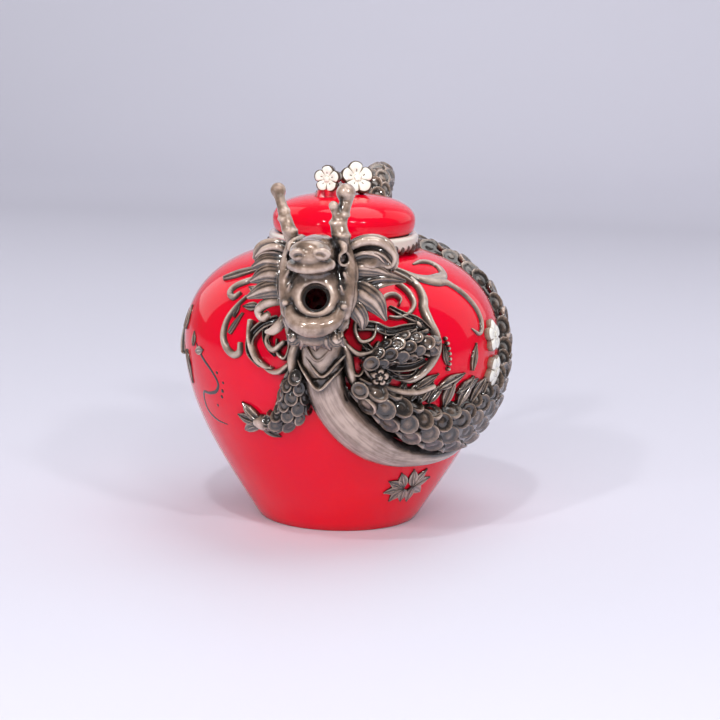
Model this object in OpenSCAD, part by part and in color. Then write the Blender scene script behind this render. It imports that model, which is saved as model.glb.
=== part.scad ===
// Lidded ceramic jar with a dragon coiled round it. The dragon's head is a
// pouring spout, its tail is the handle, and the lid lifts straight off.
// Millimetres. +Z is up, the foot stands on Z = 0, and the dragon faces -Y.

/* [Jar] */
// Radius of the belly at its widest
belly_r = 72; // [70:0.5:74]
// Height of the widest point of the belly
belly_z = 81; // [80:0.5:82]
// Radius of the foot ring
foot_r = 37; // [36:0.5:39]
// Radius where the shoulder meets the neck
neck_root_r = 36.5; // [36:0.25:37]
// Height where the shoulder meets the neck
shoulder_z = 122.5; // [122:0.25:123]
// Thickness of the wall
wall = 3.6; // [3:0.1:4.5]
// Radius of the mouth, inside the neck
mouth_r = 27; // [26:0.25:27.5]
// Outer radius of the neck under the collar
neck_r = 30; // [29.5:0.25:30.5]
// Height of the rim that the lid rests on
rim_z = 131.5; // [131:0.25:132]

/* [Collar] */
// Outer radius of the cream collar
collar_r = 34; // [33.5:0.25:34.5]
// Height of the collar's lower edge
collar_z = 125.2; // [125:0.1:125.6]
// Number of drips in the dark fringe under the collar
fringe_drips = 46; // [36:1:50]

/* [Lid] */
// Radius of the lid at its widest
lid_r = 32.5; // [32:0.25:33]
// Height of the lid's crown above the rim
lid_h = 17; // [16.5:0.25:17.5]
// Thickness of the lid
lid_wall = 3.2; // [2.8:0.1:3.6]
// Radius of the ring under the lid that drops into the mouth
flange_r = 26.3; // [26:0.1:26.4]
// Depth of that ring
flange_h = 8; // [6:0.5:9]

/* [Spout] */
// Radius of the hole in the dragon's mouth
bore_r = 4.6; // [4.2:0.1:4.8]
// Outer radius of the tube inside the head
tube_r = 7.5; // [7.2:0.1:7.8]
// Tilt of the tube above the horizontal
spout_tilt = 25; // [24:0.5:26]
// Radius of each strainer hole in the wall behind the spout
strainer_r = 1.5; // [1.2:0.1:1.7]

/* [Dragon] */
// Thickness of the handle that the tail makes
handle_r = 6.6; // [6:0.2:7]
// Height of each thin vine and ribbon above the glaze
vine_h = 1.5; // [1.2:0.1:1.8]

/* [Hidden] */

RED = "#d3002a";
SILVER = "#8d8078";
CREAM = "#eee6d8";
DARK = "#3a302b";

CURVE_STEPS = 26;     // straight runs in each half of the jar's outline
ROUND = 96;           // facets of a turned shape
GAP = 0.22;           // slip between the wall and what is luted on it
HEAD_X = 1.2;         // the head sits this far to the right of the front line
MOUTH = [HEAD_X, -93, 115];   // centre of the hole in the mouth

// ---- The jar's outline, and the chart of its wall ----

function bezier(p, t) =
    p[0]*pow(1-t, 3) + 3*p[1]*t*pow(1-t, 2) + 3*p[2]*t*t*(1-t) + p[3]*pow(t, 3);

lower_curve = [
    [foot_r, 0],
    [foot_r + 0.37*(belly_r - foot_r), 0.27*belly_z],
    [belly_r, 0.62*belly_z],
    [belly_r, belly_z]
];
upper_curve = [
    [belly_r, belly_z],
    [belly_r, belly_z + 0.53*(shoulder_z - belly_z)],
    [neck_root_r + 0.6*(belly_r - neck_root_r), shoulder_z - 0.13*(shoulder_z - belly_z)],
    [neck_root_r, shoulder_z]
];
outline = concat(
    [for (i = [0:CURVE_STEPS - 1]) bezier(lower_curve, i/CURVE_STEPS)],
    [for (i = [0:CURVE_STEPS]) bezier(upper_curve, i/CURVE_STEPS)]
);
steps = len(outline);
// Length along the outline from the foot to each of its points
run = [
    for (i = 0, s = 0; i < steps; s = s + norm(outline[min(i + 1, steps - 1)] - outline[i]), i = i + 1) s
];
r_table = [for (i = [0:steps - 1]) [run[i], outline[i][0]]];
z_table = [for (i = [0:steps - 1]) [run[i], outline[i][1]]];

function jar_r(s) = lookup(s, r_table);
function jar_z(s) = lookup(s, z_table);
// Angle of the wall from the vertical, positive where it flares as it rises
function jar_lean(s) = atan2(jar_r(s + 2) - jar_r(s - 2), jar_z(s + 2) - jar_z(s - 2));

// A point h above the wall, at azimuth a from the front (towards +X) and s up the outline
function on_jar(a, s, h) =
    let (lean = jar_lean(s), r = jar_r(s) + h*cos(lean))
    [r*sin(a), -r*cos(a), jar_z(s) - h*sin(lean)];

function mm_per_degree(s) = jar_r(s)*PI/180;

// The outline moved inwards by t, for the cavity
function inset(i, t) =
    let (a = outline[max(i - 1, 0)], b = outline[min(i + 1, steps - 1)], d = (b - a)/norm(b - a))
    outline[i] + t*[-d[1], d[0]];

// ---- Swept shapes ----

function spline(p, i, t) =
    let (a = p[max(i - 1, 0)], b = p[i], c = p[i + 1], d = p[min(i + 2, len(p) - 1)])
    0.5*(2*b + (c - a)*t + (2*a - 5*b + 4*c - d)*t*t + (3*b - a - 3*c + d)*t*t*t);

function smooth(p, n) = concat(
    [for (i = [0:len(p) - 2], j = [0:n - 1]) spline(p, i, j/n)],
    [p[len(p) - 1]]
);

// Triangles that join rings of m points, with a fan on each end
function skin(rings, m) = concat(
    [for (k = [0:rings - 2], j = [0:m - 1]) [k*m + j, (k + 1)*m + j, (k + 1)*m + (j + 1)%m]],
    [for (k = [0:rings - 2], j = [0:m - 1]) [k*m + j, (k + 1)*m + (j + 1)%m, k*m + (j + 1)%m]],
    [for (j = [1:m - 2]) [0, j, j + 1]],
    [for (j = [1:m - 2]) let (e = (rings - 1)*m) [e, e + j + 1, e + j]]
);

// Half a round section on a base that follows the wall: [across, up] as shares
BAND_SECTION = concat([for (b = [0:45:180]) [cos(b), sin(b)]], [[0, 0]]);
BODY_SECTION = concat(
    [for (b = [0:30:180]) [cos(b), sin(b)]],
    [[-0.6, 0], [-0.2, 0], [0.2, 0], [0.6, 0]]
);

// A raised band along a path on the wall: each point is [azimuth, run, width, height]
module relief(path, n = 2, section = BAND_SECTION) {
    line = smooth(path, n);
    last = len(line) - 1;
    m = len(section);
    points = [
        for (k = [0:last])
            let (
                here = line[k],
                step = line[min(k + 1, last)] - line[max(k - 1, 0)],
                scale_a = mm_per_degree(here[1]),
                heading = atan2(step[1], step[0]*scale_a) + 90
            )
            for (q = section)
                let (u = q[0]*here[2]/2)
                on_jar(here[0] + u*cos(heading)/scale_a, here[1] + u*sin(heading), GAP + q[1]*here[3])
    ];
    polyhedron(points, skin(last + 1, m), convexity = 6);
}

// A low mound on the wall whose outline is a star about [a, s]: each point of it is [angle, radius]
module mound(a, s, star, height) {
    m = len(star);
    k = mm_per_degree(s);
    tiers = [[1, 0], [1, 0.45], [0.55, 1]];
    points = concat(
        [for (tier = tiers, q = star)
            on_jar(a + tier[0]*q[1]*cos(q[0])/k, s + tier[0]*q[1]*sin(q[0]), GAP + tier[1]*height)],
        [on_jar(a, s, GAP), on_jar(a, s, GAP + height)]
    );
    faces = concat(
        [for (r = [0:1], j = [0:m - 1]) [r*m + j, (r + 1)*m + j, (r + 1)*m + (j + 1)%m]],
        [for (r = [0:1], j = [0:m - 1]) [r*m + j, (r + 1)*m + (j + 1)%m, r*m + (j + 1)%m]],
        [for (j = [0:m - 1]) [3*m, j, (j + 1)%m]],
        [for (j = [0:m - 1]) [3*m + 1, 2*m + (j + 1)%m, 2*m + j]]
    );
    polyhedron(points, faces, convexity = 6);
}

// Children stand on the wall at [a, s], h above it, with their +Z along its normal
module on_wall(a, s, h) {
    translate(on_jar(a, s, h)) rotate([90 + jar_lean(s), 0, a]) children();
}

// A round strand in free space: each point is [x, y, z, radius]
module strand(path, n = 4, sides = 8, side = [1, 0, 0]) {
    line = smooth(path, n);
    last = len(line) - 1;
    points = [
        for (k = [0:last])
            let (
                here = line[k],
                d = line[min(k + 1, last)] - line[max(k - 1, 0)],
                along = [d[0], d[1], d[2]]/norm([d[0], d[1], d[2]]),
                up = cross(along, side)/norm(cross(along, side)),
                across = cross(up, along)
            )
            for (j = [0:sides - 1])
                let (b = 360*j/sides)
                [here[0], here[1], here[2]] + here[3]*(cos(b)*across + sin(b)*up)
    ];
    polyhedron(points, skin(last + 1, sides), convexity = 6);
}

// A pointed leaf on the wall, rooted clear mm from [a, s], aimed at an angle above the +azimuth way
module wall_leaf(a, s, angle, length, width, height, clear = 0) {
    k = mm_per_degree(s);
    relief([
        for (t = [0, 0.3, 0.6, 0.85, 1])
            [
                a + (clear + t*length)*cos(angle)/k,
                s + (clear + t*length)*sin(angle),
                max(0.9, width*sin(180*pow(t, 0.8))),
                max(0.7, height*(1 - 0.5*t))
            ]
    ]);
}

// A five-petalled blossom lying on the wall
module wall_blossom(a, s, size, turn, height) {
    mound(a, s, [for (b = [0:12:348]) [b, size*(0.6 + 0.4*abs(cos(2.5*(b - turn))))]], height);
}

// ---- The jar ----

module jar_outer() {
    rotate_extrude($fn = ROUND)
        polygon(concat([[0, 0]], outline, [[0, shoulder_z]]));
}

module jar_body() {
    floor_z = 5.5;
    lip = 0.6;
    floor_i = 3;
    color(RED)
    difference() {
        rotate_extrude($fn = ROUND)
            polygon(concat(
                [[0, 0]],
                outline,
                [[neck_r, shoulder_z + 0.5], [neck_r, rim_z - lip], [neck_r - lip, rim_z],
                 [mouth_r + lip, rim_z], [mouth_r, rim_z - lip], [mouth_r, shoulder_z - wall + 0.4]],
                [for (i = [steps - 2:-1:floor_i]) inset(i, wall)],
                [[0, floor_z]]
            ));
        strainer();
    }
}

module at_spout() {
    translate(MOUTH) rotate([90 - spout_tilt, 0, 0]) children();
}

// Seven holes through the wall behind the spout
module strainer() {
    at_spout() {
        for (i = [0:5])
            rotate(60*i) translate([5, 0, -40]) cylinder(r = strainer_r, h = 18, $fn = 24);
        translate([0, 0, -40]) cylinder(r = strainer_r, h = 18, $fn = 24);
    }
}

module neck_collar() {
    edge = 1.6;
    color(CREAM)
    rotate_extrude($fn = ROUND)
        polygon(concat(
            [[neck_r, collar_z]],
            [for (b = [-90:15:0]) [collar_r - edge + edge*cos(b), collar_z + edge + edge*sin(b)]],
            [for (b = [0:15:90]) [collar_r - edge + edge*cos(b), rim_z - edge + edge*sin(b)]],
            [[neck_r, rim_z]]
        ));
}

module collar_fringe() {
    drip_r = 1.35;
    top = collar_z;
    bottom = shoulder_z + 0.62;
    color(DARK) {
        difference() {
            union() {
                translate([0, 0, bottom])
                    cylinder(r = collar_r - 0.6, h = top - bottom, $fn = ROUND);
                for (i = [0:fringe_drips - 1])
                    rotate(360*i/fringe_drips)
                        translate([collar_r - 0.4, 0, bottom])
                            cylinder(r = drip_r, h = top - bottom, $fn = 16);
            }
            translate([0, 0, bottom - 1]) cylinder(r = neck_r, h = 6, $fn = ROUND);
        }
    }
}

// ---- The lid ----

lid_seat = rim_z + 0.1;
lid_widest = rim_z + 5.5;
lid_curve = [
    [lid_r, lid_widest], [lid_r, lid_widest + 7],
    [0.68*lid_r, rim_z + lid_h], [0, rim_z + lid_h]
];
lid_skirt = [[lid_r - 2, lid_seat], [lid_r - 0.7, lid_seat + 0.4], [lid_r, lid_widest - 3], [lid_r, lid_widest]];

module lid_outer() {
    rotate_extrude($fn = ROUND)
        polygon(concat(
            [[0, lid_seat]],
            [for (i = [0:7]) bezier(lid_skirt, i/8)],
            [for (i = [0:18]) bezier(lid_curve, i/18)]
        ));
}

module lid_dome() {
    hollow = flange_r - lid_wall;
    inner_curve = [
        [hollow, lid_seat], [hollow, lid_widest + 5],
        [0.6*hollow, rim_z + lid_h - lid_wall], [0, rim_z + lid_h - lid_wall]
    ];
    color(RED)
    difference() {
        lid_outer();
        rotate_extrude($fn = ROUND)
            polygon(concat(
                [[0, lid_seat - 1], [hollow, lid_seat - 1]],
                [for (i = [0:12]) bezier(inner_curve, i/12)]
            ));
    }
}

module lid_flange() {
    color(CREAM)
    translate([0, 0, lid_seat - flange_h])
        difference() {
            cylinder(r = flange_r, h = flange_h, $fn = ROUND);
            translate([0, 0, -1]) cylinder(r = flange_r - lid_wall, h = flange_h + 2, $fn = ROUND);
        }
}

FINIAL_LEFT = [-6.4, -7, 155.6];
FINIAL_RIGHT = [4.6, 2, 154.9];

module finial_stub() {
    color(RED)
    difference() {
        translate([FINIAL_LEFT[0], -5.4, rim_z + lid_h - 3])
            cylinder(r1 = 6.6, r2 = 5.6, h = 5.4, $fn = 32);
        lid_outer();
    }
}

// A blossom with five round petals and a raised button, facing along +Z of its own frame
module finial_blossom(size, thick) {
    linear_extrude(thick)
        polygon([for (b = [0:6:354]) let (r = size*(0.66 + 0.34*abs(cos(2.5*b)))) [r*cos(b), r*sin(b)]]);
    cylinder(r = size*0.3, h = thick + 1.2, $fn = 24);
}

module finial_blossom_left() {
    color(CREAM) translate(FINIAL_LEFT) rotate([84, 0, -14]) finial_blossom(5.7, 2.4);
}

module finial_blossom_right() {
    color(CREAM) translate(FINIAL_RIGHT) rotate([72, 0, 20]) finial_blossom(7.2, 2.6);
}

// ---- The spout and the head ----

TUBE_STRAIGHT = 17;   // length of the tube's straight bore, back from the mouth
TUBE_BACK = 34;       // how far back the tube's skirt reaches, inside the wall
TUBE_FLARE = 5;       // how much wider the skirt is at its back

// The outside of the tube, grown by some mm and carried ahead of the mouth by some more
module tube_shape(grow = 0, ahead = 0) {
    translate([0, 0, -TUBE_STRAIGHT])
        cylinder(r = tube_r + grow, h = TUBE_STRAIGHT + ahead, $fn = 48);
    translate([0, 0, -TUBE_BACK])
        cylinder(r1 = tube_r + TUBE_FLARE + grow, r2 = tube_r + grow, h = TUBE_BACK - TUBE_STRAIGHT, $fn = 48);
}

module spout_tube() {
    color(SILVER)
    difference() {
        at_spout() tube_shape();
        jar_outer();
        at_spout() {
            translate([0, 0, -TUBE_STRAIGHT - 0.5]) cylinder(r = bore_r, h = TUBE_STRAIGHT + 1, $fn = 48);
            translate([0, 0, -TUBE_BACK - 2])
                cylinder(r1 = bore_r + TUBE_FLARE, r2 = bore_r, h = TUBE_BACK + 2 - TUBE_STRAIGHT, $fn = 48);
        }
    }
}

// Room for the tube inside what is modelled over it
module tube_room() {
    at_spout() tube_shape(0.08, 20);
}

JAW_TOP = 106.4;      // the plane where the jaw meets the head
THROAT_TOP = 97;      // the plane where the jaw meets the throat
NOSE_BACK = -100;     // the plane where the nose pad meets the muzzle
BIG = 80;

module ball(p, r) {
    translate([HEAD_X + p[0], p[1], p[2]]) sphere(r = r, $fn = 14);
}

module dragon_head() {
    color(SILVER)
    difference() {
        union() {
            hull() { ball([0, -76, 129], 10); ball([0, -87, 131], 9); ball([0, -80, 118], 11); }
            hull() { ball([0, -88, 131], 8.5); ball([-3, -97, 132.5], 5.4); ball([3, -97, 132.5], 5.4); }
            for (x = [-1, 1])
                hull() { ball([6.5*x, -82, 124], 6.5); ball([6.8*x, -84, 110], 6.2); }
        }
        tube_room();
        mouth_gap();
        translate([HEAD_X - BIG/2, -BIG - 40, JAW_TOP - BIG]) cube(BIG);
        translate([HEAD_X - BIG/2, NOSE_BACK - BIG, 100]) cube(BIG);
    }
}

// The open mouth between the lips, in front of the hole
module mouth_gap() {
    translate([HEAD_X - 6.5, -112, JAW_TOP]) cube([13, 19.5, 20]);
}

module lower_jaw() {
    color(SILVER)
    intersection() {
        difference() {
            hull() {
                ball([0, -84, 104], 8.4);
                ball([-3.4, -95, 105.5], 4.6);
                ball([3.4, -95, 105.5], 4.6);
                ball([0, -90, 101], 5);
            }
            tube_room();
            jar_outer_room();
        }
        translate([HEAD_X - BIG/2, -BIG - 40, THROAT_TOP]) cube([BIG, BIG, JAW_TOP - THROAT_TOP]);
    }
}

module nose_pad() {
    color(SILVER)
    intersection() {
        hull() {
            ball([-3.6, -101.4, 135.2], 4.2);
            ball([3.6, -101.4, 135.2], 4.2);
            ball([0, -100, 131], 4);
        }
        translate([HEAD_X - BIG/2, NOSE_BACK - BIG, 100]) cube(BIG);
    }
}

module left_horn() {
    color(SILVER) {
        strand([[-6.5, -81, 131, 3.4], [-10.4, -83, 138, 3.4], [-13, -82, 144, 3], [-15.6, -79, 150.5, 2.3], [-17.6, -76, 155, 2.1]], 3);
        translate([-18.4, -74.6, 157.6]) sphere(r = 3.4, $fn = 20);
    }
}

module right_horn() {
    color(SILVER) {
        strand([[8, -81, 131, 3.8], [10, -83.4, 138, 4], [8.6, -82, 145, 3.7], [9.8, -79.5, 150, 3.1], [11, -77, 154, 2.6]], 3);
        strand([[8.9, -81.5, 146.6, 2.2], [7.2, -82.4, 150.3, 2], [6.4, -82.8, 152.8, 2]], 3);
        translate([10.6, -76.2, 157.6]) sphere(r = 4.2, $fn = 20);
    }
}

module ear(x, root, tip, drop) {
    hull() {
        translate([x*root, -76, 134 + drop]) sphere(r = 3.2, $fn = 16);
        translate([x*(root + tip)/2, -76, 136 + drop]) sphere(r = 4.4, $fn = 16);
        translate([x*tip, -72, 133.5 + drop]) sphere(r = 2, $fn = 16);
    }
}

module left_ear() { color(SILVER) ear(-1, 10.5, 26, -4); }
module right_ear() { color(SILVER) ear(1, 12.5, 31, 0); }
module left_eye() { color(DARK) translate([HEAD_X - 8.6, -88, 131.5]) sphere(r = 2.1, $fn = 20); }
module right_eye() { color(DARK) translate([HEAD_X + 8.6, -88, 131.5]) sphere(r = 2.1, $fn = 20); }

// Locks of the mane: [root x, root y, root z, tip x, tip y, tip z, thickness]
LEFT_LOCKS = [
    [-9, -78, 122.6, -28, -72, 122.4, 2.2],
    [-9, -79, 117.6, -27, -74, 117, 2.4],
    [-9, -80, 112.6, -29, -74, 111, 2.4],
    [-9, -80, 107.6, -24, -78, 104, 2.9]
];
RIGHT_LOCKS = [
    [12, -77, 126.4, 30, -72, 126, 2.8],
    [12, -78, 120.2, 33, -73, 118.6, 2.9],
    [12, -79, 114, 27, -76, 112, 2.8],
    [12, -80, 107.6, 24, -78, 104, 2.9]
];

module lock(k) {
    bulge = 0.45;
    middle = [for (i = [0:2]) k[i]*(1 - bulge) + k[i + 3]*bulge];
    strand([
        [k[0], k[1], k[2], k[6]*0.7],
        [middle[0], middle[1] - 1.5, middle[2] + 1, k[6]],
        [k[3], k[4], k[5], k[6]*0.25]
    ], 3, 8, [0, 0, 1]);
}

module left_mane() { color(SILVER) for (k = LEFT_LOCKS) lock(k); }
module right_mane() { color(SILVER) for (k = RIGHT_LOCKS) lock(k); }

module beard() {
    color(SILVER)
    for (k = [[-6.2, -6, 2.3], [0, -8, 2.7], [6.2, -6, 2.3]])
        strand([
            [HEAD_X + k[0], -92, 101.5, k[2]],
            [HEAD_X + k[0], -92.8, 98, k[2]*0.9],
            [HEAD_X + k[0]*1.1, -91, 101 + k[1], 0.5]
        ], 3);
}

module left_whisker() {
    color(SILVER) {
        relief([[-26, 107, 3, 5], [-25, 99, 3.2, 4.5], [-22, 92, 3.2, 4], [-18.5, 89, 2.6, 3], [-16, 88.5, 1.4, 2]]);
        relief([[-13.5, 110, 2.2, 4], [-11.5, 105, 2.4, 4], [-10, 98.5, 2.4, 4], [-11.6, 93.5, 2.4, 3.6], [-14.6, 96, 2.2, 3], [-15.2, 101, 1.6, 2]]);
    }
}

module right_whisker() {
    color(SILVER) {
        relief([[8.4, 102, 2.6, 5], [9, 95, 3, 6], [10.8, 89.4, 3, 6], [13.4, 88, 2.4, 5], [15, 91, 2, 4], [14.6, 95.6, 1.4, 3]]);
        relief([[13, 112.5, 2, 5], [12, 106.5, 2.4, 5], [14, 101.5, 2.8, 5], [18, 103, 2.4, 4.5], [19.4, 108, 1.8, 4]]);
    }
}

module dragon_neck() {
    color(SILVER)
    relief([
        [1.2, 100, 11.6, 13], [1.2, 96.4, 11.4, 12.8], [1.3, 92.5, 11, 12.2], [1.6, 88, 11, 10.8]
    ], 2, BODY_SECTION);
}

// The jar's outside, grown by the slip, to cut what is luted on it
module jar_outer_room() {
    rotate_extrude($fn = ROUND)
        polygon(concat([[0, 0]], [for (i = [0:steps - 1]) inset(i, -GAP)], [[0, shoulder_z + GAP]]));
}

// ---- The dragon's body ----

module belly_plate() {
    color(SILVER)
    relief([
        [1.8, 87.6, 11, 10.4], [3, 81, 12.6, 9.8], [5.8, 73.6, 15, 9.5], [10.6, 66, 17, 9.5],
        [16, 59.6, 17, 9.2], [21.5, 54.6, 15.6, 8.6], [28, 50.2, 12.6, 7.6], [36, 47.3, 10.4, 6.2],
        [48, 44.8, 7.6, 4.6], [60, 43.6, 5, 3], [70, 43.6, 2.4, 1.6]
    ], 2, BODY_SECTION);
}

module back_scales() {
    color(SILVER)
    relief([
        [13.4, 83.4, 5.6, 7.5], [18.2, 78.9, 8, 8.5], [24.2, 73.4, 10.4, 8.5], [30.8, 68.2, 12.6, 8.2],
        [37, 63.6, 14, 7.6], [45.4, 60.6, 16.6, 6.8], [55, 59, 20.4, 6], [65, 59.4, 23, 5.4],
        [75, 61.4, 23, 5], [84, 64.5, 23, 5]
    ], 2, BODY_SECTION);
}

module flank_body() {
    color(SILVER)
    relief([
        [85, 65.2, 22.6, 5], [94, 71, 22, 5.6], [102, 80, 21, 6], [108.5, 91, 20, 6],
        [114, 102.5, 19, 6], [120, 113, 18, 6]
    ], 2, BODY_SECTION);
}

module shoulder_body() {
    color(SILVER)
    relief([
        [120.8, 114.2, 18, 6], [127, 121, 17, 6.2], [137, 128.5, 16, 6.4], [149, 134.5, 14, 6.6],
        [160, 137.2, 13, 6.8], [168, 138, 12.6, 7]
    ], 2, BODY_SECTION);
}

HANDLE_LINE = [
    [3.2, 49, 125, handle_r], [5.5, 57, 136.5, handle_r], [7, 68, 145.5, handle_r],
    [6.6, 80, 147.4, handle_r], [5, 89, 140, handle_r*0.95], [3, 92.5, 127, handle_r*0.88],
    [1.4, 91, 112, handle_r*0.8], [0.4, 85.5, 99, handle_r*0.74], [0, 78.6, 88, handle_r*0.7]
];

module tail_handle() {
    color(SILVER)
    difference() {
        strand(HANDLE_LINE, 3, 12);
        jar_outer_room();
    }
}

module tail_tuft() {
    color(SILVER) {
        strand([[1, 62, 141, 3.2], [-8, 67, 143.4, 3], [-19, 73, 140.2, 2.2], [-30, 78, 135.5, 0.6]], 3, 8, [0, 0, 1]);
        strand([[2, 70, 146, 2.8], [-6, 76, 148, 2.4], [-16, 83, 145, 1.6], [-25, 90, 139, 0.5]], 3, 8, [0, 0, 1]);
        strand([[0, 84, 141, 2.6], [-6, 89, 143, 2.2], [-13, 96, 140, 1.4], [-18, 102, 133, 0.5]], 3, 8, [0, 0, 1]);
    }
}

// Spines that stand on the crest of the back: [azimuth, run, height of the crest]
SPINES = [
    [93, 70.4, 5.7], [100.2, 77.6, 6.1], [105.8, 86, 6.2], [110.8, 96.2, 6.2], [116.2, 107, 6.2],
    [126.4, 120.6, 6.5], [136, 127.9, 6.7], [148, 134.2, 6.9]
];

module dorsal_fins() {
    color(SILVER)
    for (p = SPINES)
        on_wall(p[0], p[1], p[2] + 0.15) cylinder(r1 = 1.5, r2 = 0.3, h = 3.6, $fn = 20);
}

// ---- The legs ----

// A paw's outline as [angle, radius share]: three claws ahead and one behind
PAW = [
    [-62, 0.4], [-47, 0.8], [-39, 1.5], [-31, 0.85], [-23, 0.52], [-15, 0.9], [-7, 1.6], [1, 0.9],
    [9, 0.52], [17, 0.85], [25, 1.5], [33, 0.8], [50, 0.42], [90, 0.4], [122, 0.45], [136, 1.1],
    [150, 0.45], [180, 0.42], [220, 0.4], [262, 0.38]
];

module paw(a, s, angle, size, height) {
    mound(a, s, [for (q = PAW) [q[0] + angle, q[1]*size]], height);
}

module left_foreleg() {
    color(SILVER)
    relief([
        [-7.8, 86.5, 8.6, 7], [-8.6, 81, 11.2, 7], [-9.2, 75, 11.8, 6.4], [-10.8, 70, 11, 6],
        [-14, 65.8, 8.6, 5.4], [-18, 63.8, 6.2, 4.6], [-21, 63.2, 5, 4]
    ], 2, BODY_SECTION);
}

module left_forepaw() { color(SILVER) paw(-25.4, 63, 172, 6.6, 3.4); }

module right_foreleg() {
    color(SILVER)
    relief([
        [20, 95, 6.4, 6.5], [23.6, 97.4, 7.2, 7], [28, 99.4, 7.6, 7], [32.4, 100.6, 7.4, 6.6],
        [36, 101, 6.4, 6], [38.4, 100.2, 5, 5]
    ], 2, BODY_SECTION);
}

module right_forepaw() { color(SILVER) paw(35.4, 107.8, 118, 3.2, 3.4); }

module right_hind_leg() {
    color(SILVER)
    relief([
        [121.5, 91, 11, 6], [127, 87.6, 12.4, 6.4], [132.6, 81, 10.6, 6], [133.6, 73.6, 8, 5.2],
        [137.6, 68.4, 6, 4.6], [141, 67, 5, 4]
    ], 2, BODY_SECTION);
}

module right_hind_paw() { color(SILVER) paw(145.4, 66, -12, 6.8, 3.4); }

module left_hind_leg() {
    color(SILVER)
    relief([
        [-172, 92, 10, 5.6], [-165, 89, 12, 6.4], [-157, 83, 10.6, 6], [-153, 75, 8, 5.2],
        [-148.6, 69.4, 6, 4.6], [-145.4, 67.6, 5, 4]
    ], 2, BODY_SECTION);
}

module left_hind_paw() { color(SILVER) paw(-141, 66, -12, 6.8, 3.4); }

// ---- Vines, leaves and blossoms on the wall ----

module vine_upper() {
    h = vine_h;
    color(SILVER) {
        relief([
            [36, 142, 2, h], [41, 137.5, 2.6, h], [46, 133, 3.4, h], [53, 130.5, 4.6, h], [60, 130.5, 5, h],
            [66, 132, 3.6, h], [70, 137, 2.8, h], [69, 141.4, 2.4, h], [62, 143.4, 2, h], [55, 142.8, 1, 0.8]
        ]);
        relief([
            [62.6, 126, 3, h], [65.4, 122, 3.2, h], [68, 117, 3, h], [70, 111, 2.8, h], [70, 105, 2.6, h],
            [68, 101, 2.2, h], [65.5, 100.4, 1.8, h], [62.4, 103, 0.8, 0.8]
        ]);
    }
}

module vine_main() {
    h = vine_h + 1.2;
    color(SILVER) {
        relief([
            [41, 131, 3, h], [42.5, 126, 3.4, h], [42, 120, 3.6, h], [40.4, 115, 3.8, h], [41, 109, 3.6, h],
            [42.6, 103, 3.2, h], [42.6, 97, 3.2, h], [40, 91.6, 3.4, h], [36, 87, 3.4, h], [31.4, 84.8, 3.2, h],
            [28, 86.2, 2.6, h], [26.8, 89.6, 1.6, h]
        ]);
        relief([
            [33, 129, 1.8, h], [36, 124, 2.4, h], [36.6, 118, 2.6, h], [33.4, 113.4, 2.4, h],
            [28.6, 111.6, 2.2, h], [25, 112, 1.4, h]
        ]);
        relief([[22.6, 118, 2.4, h], [25, 121.8, 2.6, h], [29, 122.8, 2.4, h], [31.2, 120.2, 1.8, h], [30, 117.4, 1.2, h]]);
    }
}

module scrolls_left() {
    h = vine_h + 0.5;
    color(SILVER) {
        relief([[-40, 135.5, 1.6, h], [-45, 132.5, 2.6, h], [-51, 128.5, 3.2, h], [-56.5, 124.6, 2.4, h]]);
        relief([
            [-35, 129, 1.4, h], [-39.5, 126, 2.6, h], [-44, 122, 2.2, h], [-44.2, 118.4, 2.4, h],
            [-40.6, 116.8, 2.6, h], [-38, 119.4, 1, h]
        ]);
        relief([
            [-33.6, 118, 1, h], [-36.4, 112.6, 1.4, h], [-38.6, 106, 2, h], [-38.6, 99, 2.6, h], [-36, 94, 2.8, h],
            [-32.4, 92, 2.8, h], [-30, 93.8, 2.4, h], [-30, 97.6, 1.6, h]
        ]);
        relief([[-35.6, 101, 2.2, h], [-34.2, 104.6, 2.6, h], [-32, 110, 0.8, h]]);
    }
}

module bead_chain() {
    color(SILVER)
    for (t = [0:6])
        translate(on_jar(46.6 + 1.2*sin(t*24), 101 - 2.2*t, 1.2)) sphere(r = 1.05, $fn = 14);
}

module leaves_right() {
    color(SILVER) {
        wall_leaf(43, 80, 16, 17, 5.6, 3.4);
        wall_leaf(52.4, 76.6, 14, 16, 6, 3.2);
        wall_leaf(60, 85.4, 70, 12, 4.4, 2.4);
        wall_leaf(29, 78.6, -4, 19, 3.6, 4);
    }
}

module plum_blossoms() {
    color(CREAM) {
        wall_blossom(76.5, 97.4, 7.4, 18, 3.2);
        wall_blossom(77.5, 81.4, 7.6, 54, 3.4);
    }
}

module silver_blossom() { color(SILVER) wall_blossom(19.8, 87.6, 4, 10, 7); }

module sprig_left() {
    color(SILVER) {
        wall_leaf(-58, 91, 100, 6.4, 4, 1.3);
        wall_leaf(-55.4, 89, 14, 6.8, 4.2, 1.4);
        wall_leaf(-66, 87, -80, 15, 5.6, 1.5);
        wall_leaf(-70, 96, 96, 11, 5, 1.5);
    }
}

module leaf_cluster() {
    h = 1.6;
    color(SILVER) {
        for (t = [150, 195, 240]) wall_leaf(42, 27, t, 8, 4.4, h, 3.4);
        for (t = [62, 18, -32, -78]) wall_leaf(46, 27, t, 9, 4.4, h, 3.4);
    }
}

module branch_back() {
    h = vine_h + 0.4;
    color(SILVER) {
        relief([
            [-76, 84, 1.6, h], [-86, 90, 2.6, h], [-97, 98, 3, h], [-108, 103, 2.8, h],
            [-120, 111, 2.4, h], [-131, 122, 1.2, h]
        ]);
        relief([[-98.6, 94, 2.2, h], [-104, 88, 2, h], [-112, 80, 1.6, h], [-117, 72, 0.8, h]]);
        for (p = [[-86, 90, 110], [-101, 99.6, 100], [-106.6, 85.4, 215], [-121, 112, 80], [-92, 94.4, -70]])
            wall_leaf(p[0], p[1], p[2], 9, 4.4, 1.6, 3.2);
    }
}

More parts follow.
